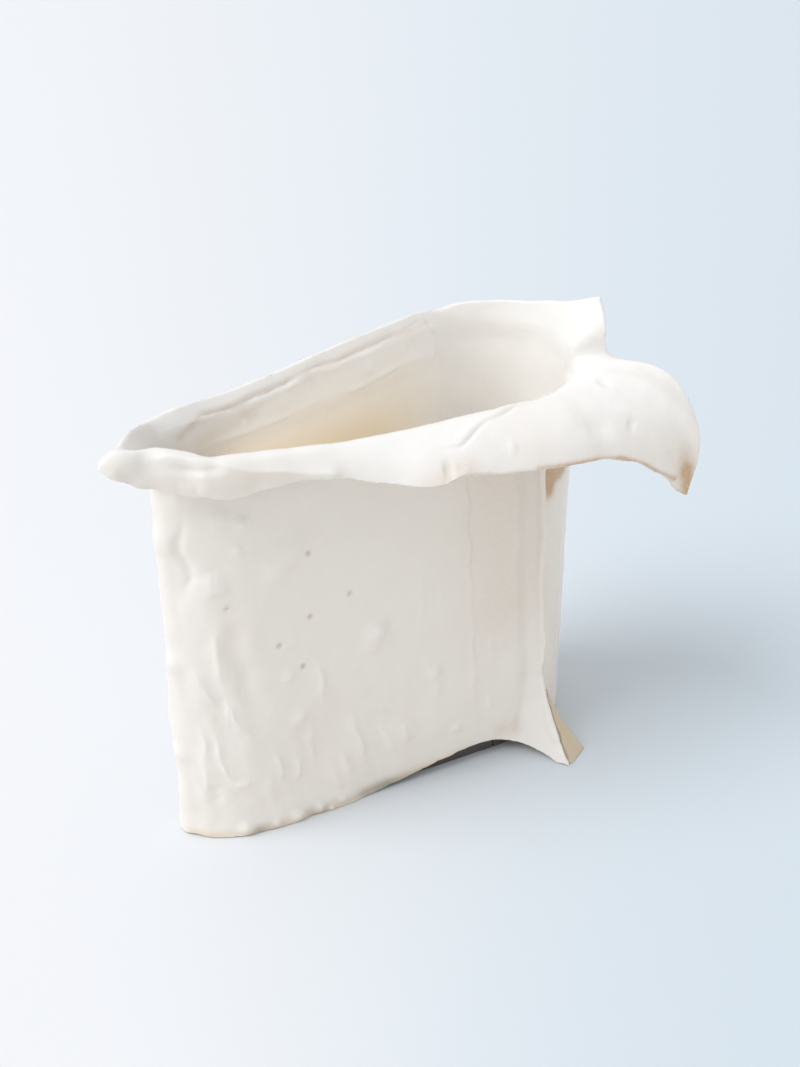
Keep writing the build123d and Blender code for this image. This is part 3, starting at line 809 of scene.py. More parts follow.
class SkinTree(ClayTree):
    """Lets a slab sway as a whole, folds it where it is marked, and gives its skin a fine unevenness."""

    name = "clay_skin"
    numbers = ("Sway Size", "Sway", "Fold Size", "Fold", "Skin Size", "Skin", "Seed")
    lean: float = 0.3
    stretch: float = 0.3
    detail: float = 2.0
    fold_detail: float = 1.0
    roughness: float = 0.45

    def shape(self, wire: Wiring, given: bpy.types.NodeOutputs) -> bpy.types.NodeSocket:
        """Moves points by noise in space, and along their normals by folds and by finer noise.

        Args:
            wire: the tree's wiring.
            given: sockets of the tree's inputs.

        Returns:
            The socket with the moved geometry.
        """
        place = wire.node("GeometryNodeInputPosition").outputs[0]
        sway = self.noise(wire, place, given["Sway Size"], given["Seed"], self.detail)
        centred = wire.vectors("SUBTRACT", sway.outputs["Color"], (0.5, 0.5, 0.5))
        swayed = wire.vectors("SCALE", centred, given["Sway"])
        drawn = {
            "X": wire.vectors("DOT_PRODUCT", place, (1.0, 0.0, self.lean)),
            "Y": wire.vectors("DOT_PRODUCT", place, (0.0, 1.0, 0.0)),
            "Z": wire.vectors("DOT_PRODUCT", place, (0.0, 0.0, self.stretch)),
        }
        long_place = wire.node("ShaderNodeCombineXYZ", drawn).outputs[0]
        fold = self.noise(wire, long_place, given["Fold Size"], given["Seed"], self.fold_detail)
        marked = wire.node("GeometryNodeInputNamedAttribute", {"Name": Mask.FOLDS.value}).outputs[0]
        fold_height = wire.maths("MULTIPLY", wire.maths("SUBTRACT", fold.outputs[0], 0.5), given["Fold"])
        skin = self.noise(wire, place, given["Skin Size"], given["Seed"], self.detail)
        skin_height = wire.maths("MULTIPLY", wire.maths("SUBTRACT", skin.outputs[0], 0.5), given["Skin"])
        lift = wire.maths("ADD", wire.maths("MULTIPLY", fold_height, marked), skin_height)
        raised = wire.vectors("SCALE", wire.node("GeometryNodeInputNormal").outputs[0], lift)
        offset = wire.vectors("ADD", swayed, raised)
        inputs = {"Geometry": given["Geometry"], "Offset": offset}
        return wire.node("GeometryNodeSetPosition", inputs).outputs[0]

    def noise(
        self,
        wire: Wiring,
        place: bpy.types.NodeSocket,
        size: bpy.types.NodeSocket,
        seed: bpy.types.NodeSocket,
        detail: float,
    ) -> bpy.types.Node:
        """Noise in space.

        Args:
            wire: the tree's wiring.
            place: socket with the place of each point.
            size: socket with the size of the lumps.
            seed: socket with the seed.
            detail: how many finer layers lie on the lumps.

        Returns:
            The noise node.
        """
        inputs = {
            "Vector": place,
            "W": seed,
            "Scale": wire.maths("DIVIDE", 1.0, size),
            "Detail": detail,
            "Roughness": self.roughness,
        }
        return wire.node("ShaderNodeTexNoise", inputs, noise_dimensions="4D")


class CrumbTree(ClayTree):
    """Presses crumbs of clay along a line."""

    name = "clay_crumbs"
    numbers = ("Spacing", "Least", "Greatest", "Spread", "Seed")

    def shape(self, wire: Wiring, given: bpy.types.NodeOutputs) -> bpy.types.NodeSocket:
        """Sets balls of random size beside evenly spaced points of the line.

        Args:
            wire: the tree's wiring.
            given: sockets of the tree's inputs.

        Returns:
            The socket with the balls.
        """
        line = wire.node("GeometryNodeMeshToCurve", {"Mesh": given["Geometry"]})
        inputs = {"Curve": line.outputs[0], "Length": given["Spacing"]}
        row = wire.node("GeometryNodeResampleCurve", inputs, mode="LENGTH")
        ways = {"Min": (-1.0, -1.0, -1.0), "Max": (1.0, 1.0, 1.0), "Seed": given["Seed"]}
        aside = wire.node("FunctionNodeRandomValue", ways, data_type="FLOAT_VECTOR")
        offset = wire.vectors("SCALE", aside.outputs[0], given["Spread"])
        inputs = {"Geometry": row.outputs[0], "Offset": offset}
        places = wire.node("GeometryNodeSetPosition", inputs)
        sizes = {"Min": given["Least"], "Max": given["Greatest"], "Seed": given["Seed"]}
        size = wire.node("FunctionNodeRandomValue", sizes, data_type="FLOAT")
        ball = wire.node("GeometryNodeMeshIcoSphere", {"Radius": 1.0, "Subdivisions": 2})
        inputs = {"Points": places.outputs[0], "Instance": ball.outputs[0], "Scale": size.outputs[1]}
        return wire.node("GeometryNodeInstanceOnPoints", inputs).outputs[0]


def settle(piece: bpy.types.Object) -> None:
    """Turns a piece with modifiers into a plain mesh.

    Args:
        piece: the object, which keeps its name and place.
    """
    depsgraph = bpy.context.evaluated_depsgraph_get()
    mesh = bpy.data.meshes.new_from_object(piece.evaluated_get(depsgraph))
    piece.modifiers.clear()
    worn = piece.data
    piece.data = mesh
    bpy.data.meshes.remove(worn)


def new_object(name: str, mesh: bpy.types.Mesh) -> bpy.types.Object:
    """An object at the origin that holds a mesh."""
    made = bpy.data.objects.new(name, mesh)
    bpy.context.scene.collection.objects.link(made)
    return made


def places_of(mesh: bpy.types.Mesh) -> np.ndarray:
    """Places of a mesh's points in millimetres."""
    flat = np.empty(len(mesh.vertices) * 3, np.float32)
    mesh.vertices.foreach_get("co", flat)
    return flat.reshape(-1, 3).astype(float) / MM


def normals_of(mesh: bpy.types.Mesh) -> np.ndarray:
    """Outward normals at a mesh's points."""
    flat = np.empty(len(mesh.vertices) * 3, np.float32)
    mesh.vertex_normals.foreach_get("vector", flat)
    return flat.reshape(-1, 3).astype(float)


def move_points(mesh: bpy.types.Mesh, points: np.ndarray, lowest: float = 0.0) -> None:
    """Sets the places of a mesh's points, in millimetres, none below the lowest height."""
    points[:, 2] = np.maximum(points[:, 2], lowest)
    mesh.vertices.foreach_set("co", (points * MM).astype(np.float32).ravel())
    mesh.update()


def unite(body: bpy.types.Object, other: bpy.types.Object) -> None:
    """Joins another closed object to a body, and removes that object.

    Args:
        body: the closed object that grows.
        other: the closed object that goes into it.
    """
    union = body.modifiers.new("union", "BOOLEAN")
    union.operation = "UNION"
    union.solver = "MANIFOLD"
    union.object = other
    settle(body)
    bpy.data.objects.remove(other)


@dataclass(frozen=True)
class Clay:
    """How the clay is worked: mesh fineness, softened edges, eased corner and uneven skin."""

    weld: float = 0.00001
    sliver: float = 0.000001
    fine_voxel: float = 0.35
    voxel: float = 0.7
    overlap: float = 0.6
    shell_limit: float = 2.0
    trim: float = 0.72
    soften_rounds: int = 2
    joint_reach: float = 2.5
    joint_rounds: int = 16
    joint_back: float = -0.52
    blend_rounds: int = 120
    corner_ease: float = 9.5
    sway_size: float = 38.0
    sway: float = 2.6
    fold_size: float = 11.0
    fold: float = 3.0
    skin_size: float = 8.0
    skin: float = 0.45
    seed: float = 4.0

    def fattened(self, node: str) -> bpy.types.Object:
        """A copy of a slab of the frame, thicker all round so that it reaches into its neighbours.

        Args:
            node: the slab's node.

        Returns:
            The thicker slab.
        """
        slab = bmesh.new()
        slab.from_mesh(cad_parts[node].data)
        bmesh.ops.remove_doubles(slab, verts=slab.verts, dist=self.weld * MM)
        clean = all(edge.is_manifold for edge in slab.edges)
        clean = clean and min(face.calc_area() for face in slab.faces) > self.sliver * MM**2
        if clean:
            slab.normal_update()
            factors = [min(vertex.calc_shell_factor(), self.shell_limit) for vertex in slab.verts]
            moves = [vertex.normal * factor for vertex, factor in zip(slab.verts, factors)]
            for vertex, move in zip(slab.verts, moves):
                vertex.co += move * self.overlap * MM
        mesh = bpy.data.meshes.new(node)
        slab.to_mesh(mesh)
        slab.free()
        made = new_object(f"{node}_slab", mesh)
        if not clean:
            self.remesh(made, self.fine_voxel)
            points = places_of(made.data) + normals_of(made.data) * self.overlap
            move_points(made.data, points, -self.overlap)
        return made

    @staticmethod
    def remesh(body: bpy.types.Object, voxel: float) -> None:
        """Rebuilds a body as one closed mesh of even fineness."""
        remesh = body.modifiers.new("remesh", "REMESH")
        remesh.mode = "VOXEL"
        remesh.voxel_size = voxel * MM
        settle(body)

    def crumbs(self, crumb: CrumbTree, row: CrumbRow) -> bpy.types.Object:
        """Crumbs of clay along a line.

        Args:
            crumb: the tree that presses them.
            row: the line, with the size and the spacing of its crumbs.

        Returns:
            The crumbs as one object.
        """
        mesh = bpy.data.meshes.new("crumbs")
        edges = [(i, i + 1) for i in range(len(row.path) - 1)]
        mesh.from_pydata([Vector(point) * MM for point in row.path], edges, [])
        made = new_object("crumbs", mesh)
        values = {
            "Spacing": row.spacing * MM,
            "Least": row.least * MM,
            "Greatest": row.greatest * MM,
            "Spread": row.spread * MM,
            "Seed": self.seed,
        }
        crumb.apply(made, values)
        return made

    def joined(
        self, name: str, nodes: list[str], rows: list[bpy.types.Object] | None = None
    ) -> bpy.types.Object:
        """Slabs of the frame as one soft-edged body.

        Args:
            name: name of the new object.
            nodes: the frame's nodes that it is made of.
            rows: crumbs that are pressed into it.

        Returns:
            The body, a closed mesh as thick as the slabs.
        """
        heap = bmesh.new()
        for part in [*map(self.fattened, nodes), *(rows or [])]:
            heap.from_mesh(part.data)
            bpy.data.objects.remove(part)
        mesh = bpy.data.meshes.new(name)
        heap.to_mesh(mesh)
        heap.free()
        body = new_object(name, mesh)
        self.remesh(body, self.voxel)
        keep_largest(body.data)
        soften = body.modifiers.new("soften", "SMOOTH")
        soften.iterations = self.soften_rounds
        settle(body)
        move_points(body.data, places_of(body.data) - normals_of(body.data) * self.trim)
        return body

    def worked(self, body: bpy.types.Object, joints: "Joints", marks: list[Mark]) -> None:
        """Closes the joints of a body, draws out its points, eases its corner and presses marks into it.

        Args:
            body: the joined slabs.
            joints: where the slabs meet.
            marks: marks of the hand.
        """
        points = places_of(body.data)
        pairs = edges_of(body.data)
        smeared = np.max([blend.cover(points) for blend in BLENDS], axis=0)
        near_joint = joints.cover(points, self.joint_reach)
        points = smoothed(points, pairs, near_joint, self.joint_rounds, self.joint_back)
        points = smoothed(points, pairs, smeared, self.blend_rounds)
        points = points + sum(pull.offset(points) for pull in PULLS)
        move_points(body.data, points)
        points = places_of(body.data)
        normals = normals_of(body.data)
        relief = sum((mark.relief(points, normals) for mark in marks), np.zeros(len(points)))
        eased = PLAN.corner_setback(points, self.corner_ease, self.overlap - self.trim)
        paint(body.data, Mask.FOLDS, PLAN.fold_cover(points))
        move_points(body.data, points + normals * relief[:, None] - eased)

    def ease_corner(self, piece: bpy.types.Object) -> None:
        """Moves a loose piece with the eased corner of the walls."""
        points = places_of(piece.data)
        move_points(piece.data, points - PLAN.corner_setback(points, self.corner_ease, 0.0))

    def skinned(self, body: bpy.types.Object, skin: SkinTree, material: bpy.types.Material) -> None:
        """Lets a body sway and gives it its skin and its glaze.

        Args:
            body: the clay.
            skin: the tree that works it.
            material: its glaze.
        """
        values = {
            "Sway Size": self.sway_size * MM,
            "Sway": self.sway * MM,
            "Fold Size": self.fold_size * MM,
            "Fold": self.fold * MM,
            "Skin Size": self.skin_size * MM,
            "Skin": self.skin * MM,
            "Seed": self.seed,
            "Material": material,
        }
        skin.apply(body, values)
        move_points(body.data, places_of(body.data))


def edges_of(mesh: bpy.types.Mesh) -> tuple[np.ndarray, np.ndarray]:
    """Indices of the points at both ends of each edge of a mesh."""
    flat = np.empty(len(mesh.edges) * 2, np.int32)
    mesh.edges.foreach_get("vertices", flat)
    first, second = flat.reshape(-1, 2).T
    return first, second


# Cover below which a point stays, and how far a round draws it towards its neighbours
LEAST_COVER = 0.01
ROUND_STEP = 0.5


def smoothed(
    points: np.ndarray,
    pairs: tuple[np.ndarray, np.ndarray],
    cover: np.ndarray,
    rounds: int,
    back: float = 0.0,
) -> np.ndarray:
    """Points drawn towards their neighbours.

    Args:
        points: places, one row each.
        pairs: indices of the points at both ends of each edge.
        cover: how strongly each point is drawn.
        rounds: how often.
        back: a negative share by which each round is taken back, so that thin edges keep their form.

    Returns:
        The moved points.
    """
    first, second = pairs
    near = (cover[first] > LEAST_COVER) | (cover[second] > LEAST_COVER)
    first, second = first[near], second[near]
    moved = np.flatnonzero(cover > LEAST_COVER)
    total = len(points)
    count = (np.bincount(first, minlength=total) + np.bincount(second, minlength=total))[moved]
    strength = cover[moved][:, None]
    points = points.copy()
    for _ in range(rounds):
        for step in (ROUND_STEP, back) if back else (ROUND_STEP,):
            sums = np.zeros((total, 3))
            for axis in range(3):
                sums[:, axis] += np.bincount(first, points[second, axis], total)
                sums[:, axis] += np.bincount(second, points[first, axis], total)
            mean = sums[moved] / count[:, None]
            points[moved] += step * strength * (mean - points[moved])
    return points


def keep_largest(mesh: bpy.types.Mesh) -> None:
    """Removes all but the largest connected shell of a mesh.

    Args:
        mesh: the mesh, which is changed.
    """
    first, second = edges_of(mesh)
    label = np.arange(len(mesh.vertices))
    changed = True
    while changed:
        lowest = np.minimum(label[first], label[second])
        spread = label.copy()
        np.minimum.at(spread, first, lowest)
        np.minimum.at(spread, second, lowest)
        spread = spread[spread]
        changed = bool((spread != label).any())
        label = spread
    names, counts = np.unique(label, return_counts=True)
    stray = np.flatnonzero(label != names[counts.argmax()])
    if not len(stray):
        return
    cleaned = bmesh.new()
    cleaned.from_mesh(mesh)
    cleaned.verts.ensure_lookup_table()
    bmesh.ops.delete(cleaned, geom=[cleaned.verts[i] for i in stray], context="VERTS")
    cleaned.to_mesh(mesh)
    cleaned.free()


def prism(name: str, foot: Outline, top: Outline, low: float, high: float) -> bpy.types.Object:
    """A closed cutter between two level outlines.

    Args:
        name: name of the object.
        foot: its outline below.
        top: its outline above, with as many points.
        low: height of the lower outline.
        high: height of the upper one.

    Returns:
        The cutter.
    """
    made = bmesh.new()
    below = [made.verts.new((p.x * MM, p.y * MM, low * MM)) for p in foot]
    above = [made.verts.new((p.x * MM, p.y * MM, high * MM)) for p in top]
    made.faces.new(below)
    made.faces.new(above)
    for i in range(len(below)):
        j = (i + 1) % len(below)
        made.faces.new((below[i], below[j], above[j], above[i]))
    bmesh.ops.recalc_face_normals(made, faces=made.faces)
    for face in made.faces:
        face.material_index = 1
    mesh = bpy.data.meshes.new(name)
    made.to_mesh(mesh)
    made.free()
    return new_object(name, mesh)


def cut(body: bpy.types.Object, tool: bpy.types.Object, operation: str, name: str) -> bpy.types.Object:
    """A copy of a body cut by a closed tool.

    Args:
        body: what is cut.
        tool: the cutter.
        operation: INTERSECT keeps what lies inside the cutter, DIFFERENCE what lies outside.
        name: name of the result.

    Returns:
        The cut piece.
    """
    piece = new_object(name, body.data.copy())
    knife = piece.modifiers.new("knife", "BOOLEAN")
    knife.operation = operation
    knife.solver = "MANIFOLD"
    knife.object = tool
    settle(piece)
    return piece


@dataclass(frozen=True)
class BodyNormals:
    """Normals of the uncut body, with which the shading of the pieces runs on across their joints."""

    tree: KDTree
    normals: np.ndarray
    neighbours: int = 3
    touch: float = 0.01

    @classmethod
    def of(cls, mesh: bpy.types.Mesh) -> "BodyNormals":
        """Those of a mesh."""
        tree = KDTree(len(mesh.vertices))
        for vertex in mesh.vertices:
            tree.insert(vertex.co, vertex.index)
        tree.balance()
        return cls(tree, normals_of(mesh))

    def at(self, place: Vector) -> np.ndarray:
        """The normal at a place on the body, from the nearest points."""
        near = self.tree.find_n(place, self.neighbours)
        total = sum(self.normals[index] / (away + self.touch * MM) for _, index, away in near)
        return total / np.linalg.norm(total)


def shade(mesh: bpy.types.Mesh, surface: BodyNormals | None = None) -> None:
    """Smooth shading, with a hard edge round the faces of a cut.

    Args:
        mesh: the mesh of a piece.
        surface: normals for the points on the rim of a cut.
    """
    mesh.shade_smooth()
    cut_faces = np.empty(len(mesh.polygons), np.int32)
    mesh.polygons.foreach_get("material_index", cut_faces)
    totals = np.empty(len(mesh.polygons), np.int32)
    mesh.polygons.foreach_get("loop_total", totals)
    edge_of_loop = np.empty(len(mesh.loops), np.int32)
    mesh.loops.foreach_get("edge_index", edge_of_loop)
    kind = np.repeat(cut_faces, totals)
    least = np.ones(len(mesh.edges), np.int32)
    most = np.zeros(len(mesh.edges), np.int32)
    np.minimum.at(least, edge_of_loop, kind)
    np.maximum.at(most, edge_of_loop, kind)
    rim = least != most
    hard = mesh.attributes.get("sharp_edge") or mesh.attributes.new("sharp_edge", "BOOLEAN", "EDGE")
    hard.data.foreach_set("value", rim)
    mesh.polygons.foreach_set("material_index", np.zeros(len(mesh.polygons), np.int32))
    if surface is None or not rim.any():
        return
    point_of_loop = np.empty(len(mesh.loops), np.int32)
    mesh.loops.foreach_get("vertex_index", point_of_loop)
    flat = np.empty(len(mesh.loops) * 3, np.float32)
    mesh.corner_normals.foreach_get("vector", flat)
    normals = flat.reshape(-1, 3)
    first, second = edges_of(mesh)
    on_rim = np.zeros(len(mesh.vertices), bool)
    on_rim[first[rim]] = True
    on_rim[second[rim]] = True
    carried = np.zeros((len(mesh.vertices), 3), np.float32)
    for index in np.flatnonzero(on_rim):
        carried[index] = surface.at(mesh.vertices[index].co)
    loops = on_rim[point_of_loop] & (kind == 0)
    normals[loops] = carried[point_of_loop[loops]]
    mesh.normals_split_custom_set(normals.tolist())


def paint(mesh: bpy.types.Mesh, mask: Mask, values: np.ndarray) -> None:
    """Stores a value at each point of a mesh."""
    layer = mesh.attributes.new(mask.value, "FLOAT", "POINT")
    layer.data.foreach_set("value", values.astype(np.float32))


WING_EDGE = (
    (46.0, -61.8, 147.0),
    (62.3, -61.6, 145.0),
    (74.6, -60.8, 144.0),
    (84.4, -60.4, 142.2),
    (96.3, -60.8, 136.6),
    (104.0, -60.8, 131.0),
    (112.0, -60.4, 127.0),
)

STAINS_AND_SHADE = [
    StainAndShade(WING_EDGE, 1.1, 0.9),
    StainAndShade(((118.5, -60.0, 128.0), (119.0, -61.5, 117.0)), 4.0, 1.1),
    StainAndShade(((117.0, -58.5, 134.0),), 6.0, 0.35),
    # Painted shade: a warm darkening in the notch where the front lip folds over onto the wing.
    StainAndShade(((2.0, -60.0, 148.5), (12.8, -58.4, 151.4), (18.0, -58.6, 151.4)), 5.0, 0.26),
    StainAndShade(((60.5, -36.0, 162.6),), 1.4, 0.35),
    # A tan patch on the end slab just under the wing.
    StainAndShade(((71.0, -30.6, 128.0), (74.5, -29.6, 117.0)), 3.2, 0.9),
    StainAndShade(((71.0, -30.6, 128.0), (88.0, -22.0, 126.0)), 4.0, 0.9),
    StainAndShade(((74.5, -29.4, 122.0), (82.0, -26.4, 123.5)), 3.6, 0.9),
    # Painted shade: the corner panel below the wing is tinted darker and warmer for the wing's shade on
    # it.
    StainAndShade(((46.0, PLAN.front_y, 145.0), (50.0, PLAN.front_y, 75.0)), 20.0, 0.17),
    StainAndShade(((-90.0, -36.5, 163.5), (-66.0, -43.0, 160.0), (-45.0, -45.5, 157.0)), 6.0, 0.1),
    StainAndShade(((53.0, -35.6, 11.5), (58.0, -37.0, 12.0)), 4.0, 0.25),
    StainAndShade(FOOT_EDGE, 0.9, 0.15),
    StainAndShade(((-104.0, -36.5, 169.0), (-99.0, -36.0, 164.5)), 1.6, 0.12),
    StainAndShade(UPPER_CREASE, 1.4, 0.35),
    StainAndShade(((-64.0, -9.4, 161.0), (-52.0, -5.0, 163.0), (-40.0, -0.8, 163.5)), 3.0, 0.15),
    *(StainAndShade(((x, PLAN.front_y, z),), 0.9, 0.9) for x, z in PITS),
    StainAndShade(((-67.4, PLAN.front_y, 104.9),), 2.0, 0.5),
]

# Painted shade: the base's front edge and the front coil, seen through the gap under the front's arch, are
# painted near black for the shadow in that gap.
ARCH_SHADE_LINES = [
    StainAndShade(((-60.0, -30.5, 1.0), (30.0, -30.5, 3.0), (66.0, -30.0, 3.0)), 3.0, 2.0),
    StainAndShade(((30.0, -29.0, 6.0), (62.0, -29.0, 6.0)), 3.0, 2.0),
]


@dataclass(frozen=True)
class PoolAndShade:
    """Where the glaze looks cream: run together inside at the narrow end, where it is also darker as
    painted shade deep in the mouth, and along the foot's edge.
    """

    skin: tuple[float, float] = (2.9, 3.5)
    heights: tuple[float, float] = (128.0, 166.0)
    run: tuple[float, float] = (10.0, 78.0)
    edge: StainAndShade = StainAndShade(FOOT_EDGE, 2.4, 0.5)

    def cover(self, points: np.ndarray) -> np.ndarray:
        """How strongly the cream shows at each point."""
        inside = smooth_step(PLAN.depth(points), *self.skin)
        below = 1.0 - smooth_step(points[:, 2], *self.heights)
        narrow = 1.0 - smooth_step(points[:, 0], *self.run)
        return np.maximum(inside * below * narrow, self.edge.cover(points))


def lightened(piece: bpy.types.Object, limit: int = 180_000) -> None:
    """Thins out the mesh of a piece with too many triangles."""
    triangles = sum(len(face.vertices) - 2 for face in piece.data.polygons)
    if triangles > limit:
        thin = piece.modifiers.new("thin", "DECIMATE")
        thin.ratio = limit / triangles
        settle(piece)


def finish_piece(
    piece: bpy.types.Object,
    node: str,
    material: bpy.types.Material,
    surface: BodyNormals | None = None,
) -> None:
    """Paints the colour masks of a piece, painted shade among them, and hands it over to the frame.

    Args:
        piece: the finished mesh.
        node: the frame's node that it stands for.
        material: its finish.
        surface: normals of the body that it was cut from.
    """
    lightened(piece)
    points = places_of(piece.data)
    stain_and_shade = sum((mark.cover(points) for mark in STAINS_AND_SHADE), np.zeros(len(points)))
    arch_shade = sum((mark.cover(points) for mark in ARCH_SHADE_LINES), np.zeros(len(points)))
    paint(piece.data, Mask.POOLED_AND_SHADED, PoolAndShade().cover(points))
    paint(piece.data, Mask.STAIN_AND_SHADE, np.clip(stain_and_shade, 0.0, 1.0))
    paint(piece.data, Mask.ARCH_SHADE, np.clip(arch_shade, 0.0, 1.0))
    shade(piece.data, surface)
    piece.data.materials.clear()
    piece.data.materials.append(material)
    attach(piece, "root")
    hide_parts(node)
    log.info("%s stands for %s, %d faces", piece.name, node, len(piece.data.polygons))


class GlazeGroup:
    """Shader group shared by all finishes: glaze pooled inside and darker there as painted shade, thin
    over edges, warm painted shade along some lines, near-black painted shade under the arch, slightly
    uneven.
    """

    cloud_scale: float = 45.0
    cloud_detail: float = 3.0
    cloud_height: float = 0.6
    fine_detail: float = 4.0
    tint_breakup: float = 0.55
    roughening: float = 0.12

    def __init__(self) -> None:
        """Builds the group once."""
        inputs = {
            "Clear": "NodeSocketColor",
            "Pooled And Shaded": "NodeSocketColor",
            "StainAndShade": "NodeSocketColor",
            "Arch Shade": "NodeSocketColor",
            "Mottle": "NodeSocketFloat",
            "Smoothest": "NodeSocketFloat",
            "Speck Size": "NodeSocketFloat",
        }
        outputs = {"Color": "NodeSocketColor", "Roughness": "NodeSocketFloat", "Height": "NodeSocketFloat"}
        self.tree = new_tree("glaze_layers", "ShaderNodeTree", inputs, outputs)
        wire = Wiring(self.tree)
        given = wire.node("NodeGroupInput").outputs
        where = wire.node("ShaderNodeTexCoord").outputs["Object"]
        inputs = {"Vector": where, "Scale": self.cloud_scale, "Detail": self.cloud_detail}
        cloud = wire.node("ShaderNodeTexNoise", inputs)
        fine_scale = wire.maths("DIVIDE", 1.0, given["Speck Size"])
        inputs = {"Vector": where, "Scale": fine_scale, "Detail": self.fine_detail}
        fine = wire.node("ShaderNodeTexNoise", inputs)
        # Cream where the glaze runs together inside, darker deep in the mouth as painted shade.
        pooled_and_shaded = wire.node("ShaderNodeAttribute", attribute_name=Mask.POOLED_AND_SHADED.value).outputs["Fac"]
        stain_and_shade = wire.node("ShaderNodeAttribute", attribute_name=Mask.STAIN_AND_SHADE.value).outputs["Fac"]
        drift = wire.maths("MULTIPLY", wire.maths("SUBTRACT", cloud.outputs[0], 0.5), given["Mottle"])
        wash = wire.maths("ADD", pooled_and_shaded, drift, clamp=True)
        body = wire.blend(wash, given["Clear"], given["Pooled And Shaded"])
        broken = wire.maths("ADD", fine.outputs[0], self.tint_breakup)
        show = wire.maths("MULTIPLY", stain_and_shade, broken, clamp=True)
        tinted = wire.blend(show, body, given["StainAndShade"])
        # Painted shade: the colour goes near black where the gap under the arch is marked.
        arch_shade = wire.node("ShaderNodeAttribute", attribute_name=Mask.ARCH_SHADE.value).outputs["Fac"]
        colour = wire.blend(arch_shade, tinted, given["Arch Shade"])
        uneven = wire.maths("MULTIPLY", fine.outputs[0], self.roughening)
        rough = wire.maths("ADD", given["Smoothest"], uneven)
        lumps = wire.maths("MULTIPLY", cloud.outputs[0], self.cloud_height)
        height = wire.maths("ADD", lumps, fine.outputs[0])
        wire.node("NodeGroupOutput", {"Color": colour, "Roughness": rough, "Height": height})


@dataclass(frozen=True)
class Finish:
    """A glaze or bare clay, with its colours where it is clear, where it pools (darker deep inside as
    painted shade), along its stains and painted shade, and in the painted shade under the arch.
    """

    name: str
    clear: Colour
    pooled_and_shaded: Colour
    stain_and_shade: Colour
    mottle: float
    smoothest: float
    speck: float
    grain: float
    # Near-black colour of the painted shade in the gap under the arch.
    arch_shade: Colour = (0.09, 0.085, 0.08)
    grain_height: float = 0.3

    def build(self, layers: GlazeGroup) -> bpy.types.Material:
        """The finish as a material.

        Args:
            layers: the shared shader group.

        Returns:
            The material.
        """
        material = bpy.data.materials.new(self.name)
        material.use_nodes = True
        material.node_tree.nodes.clear()
        wire = Wiring(material.node_tree)
        glaze = wire.node("ShaderNodeGroup", node_tree=layers.tree)
        values = {
            "Clear": self.clear,
            "Pooled And Shaded": self.pooled_and_shaded,
            "StainAndShade": self.stain_and_shade,
            "Arch Shade": self.arch_shade,
            "Mottle": self.mottle,
            "Smoothest": self.smoothest,
            "Speck Size": self.speck * MM,
        }
        for label, value in values.items():
            wire.feed(glaze.inputs[label], value)
        grain = {
            "Strength": self.grain,
            "Distance": self.grain_height * MM,
            "Height": glaze.outputs["Height"],
        }
        bump = wire.node("ShaderNodeBump", grain)
        looks = {
            "Base Color": glaze.outputs["Color"],
            "Roughness": glaze.outputs["Roughness"],
            "Normal": bump.outputs["Normal"],
        }
        surface = wire.node("ShaderNodeBsdfPrincipled", looks)
        wire.node("ShaderNodeOutputMaterial", {"Surface": surface.outputs[0]})
        return material


WHITE = Finish(
    name="white_glaze",
    clear=(0.905, 0.896, 0.882),
    # Cream of the glaze run together inside, set darker and warmer than the glaze alone as painted shade
    # deep in the mouth.
    pooled_and_shaded=(0.83, 0.715, 0.52),
    stain_and_shade=(0.62, 0.44, 0.29),
    mottle=0.25,
    smoothest=0.16,
    speck=1.6,
    grain=0.15,
)
CREAM = Finish(
    name="cream_glaze",
    clear=(0.90, 0.84, 0.71),
    pooled_and_shaded=(0.88, 0.81, 0.68),
    stain_and_shade=(0.60, 0.45, 0.30),
    mottle=0.3,
    smoothest=0.18,
    speck=1.6,
    grain=0.15,
)
TAN = Finish(
    name="tan_clay",
    clear=(0.70, 0.60, 0.45),
    pooled_and_shaded=(0.80, 0.74, 0.62),
    stain_and_shade=(0.52, 0.38, 0.25),
    mottle=0.8,
    smoothest=0.3,
    speck=1.2,
    grain=0.3,
)
BARE = Finish(
    name="bare_porcelain",
    clear=(0.80, 0.76, 0.69),
    pooled_and_shaded=(0.82, 0.76, 0.64),
    stain_and_shade=(0.60, 0.47, 0.34),
    mottle=0.4,
    smoothest=0.5,
    speck=0.8,
    grain=0.4,
)


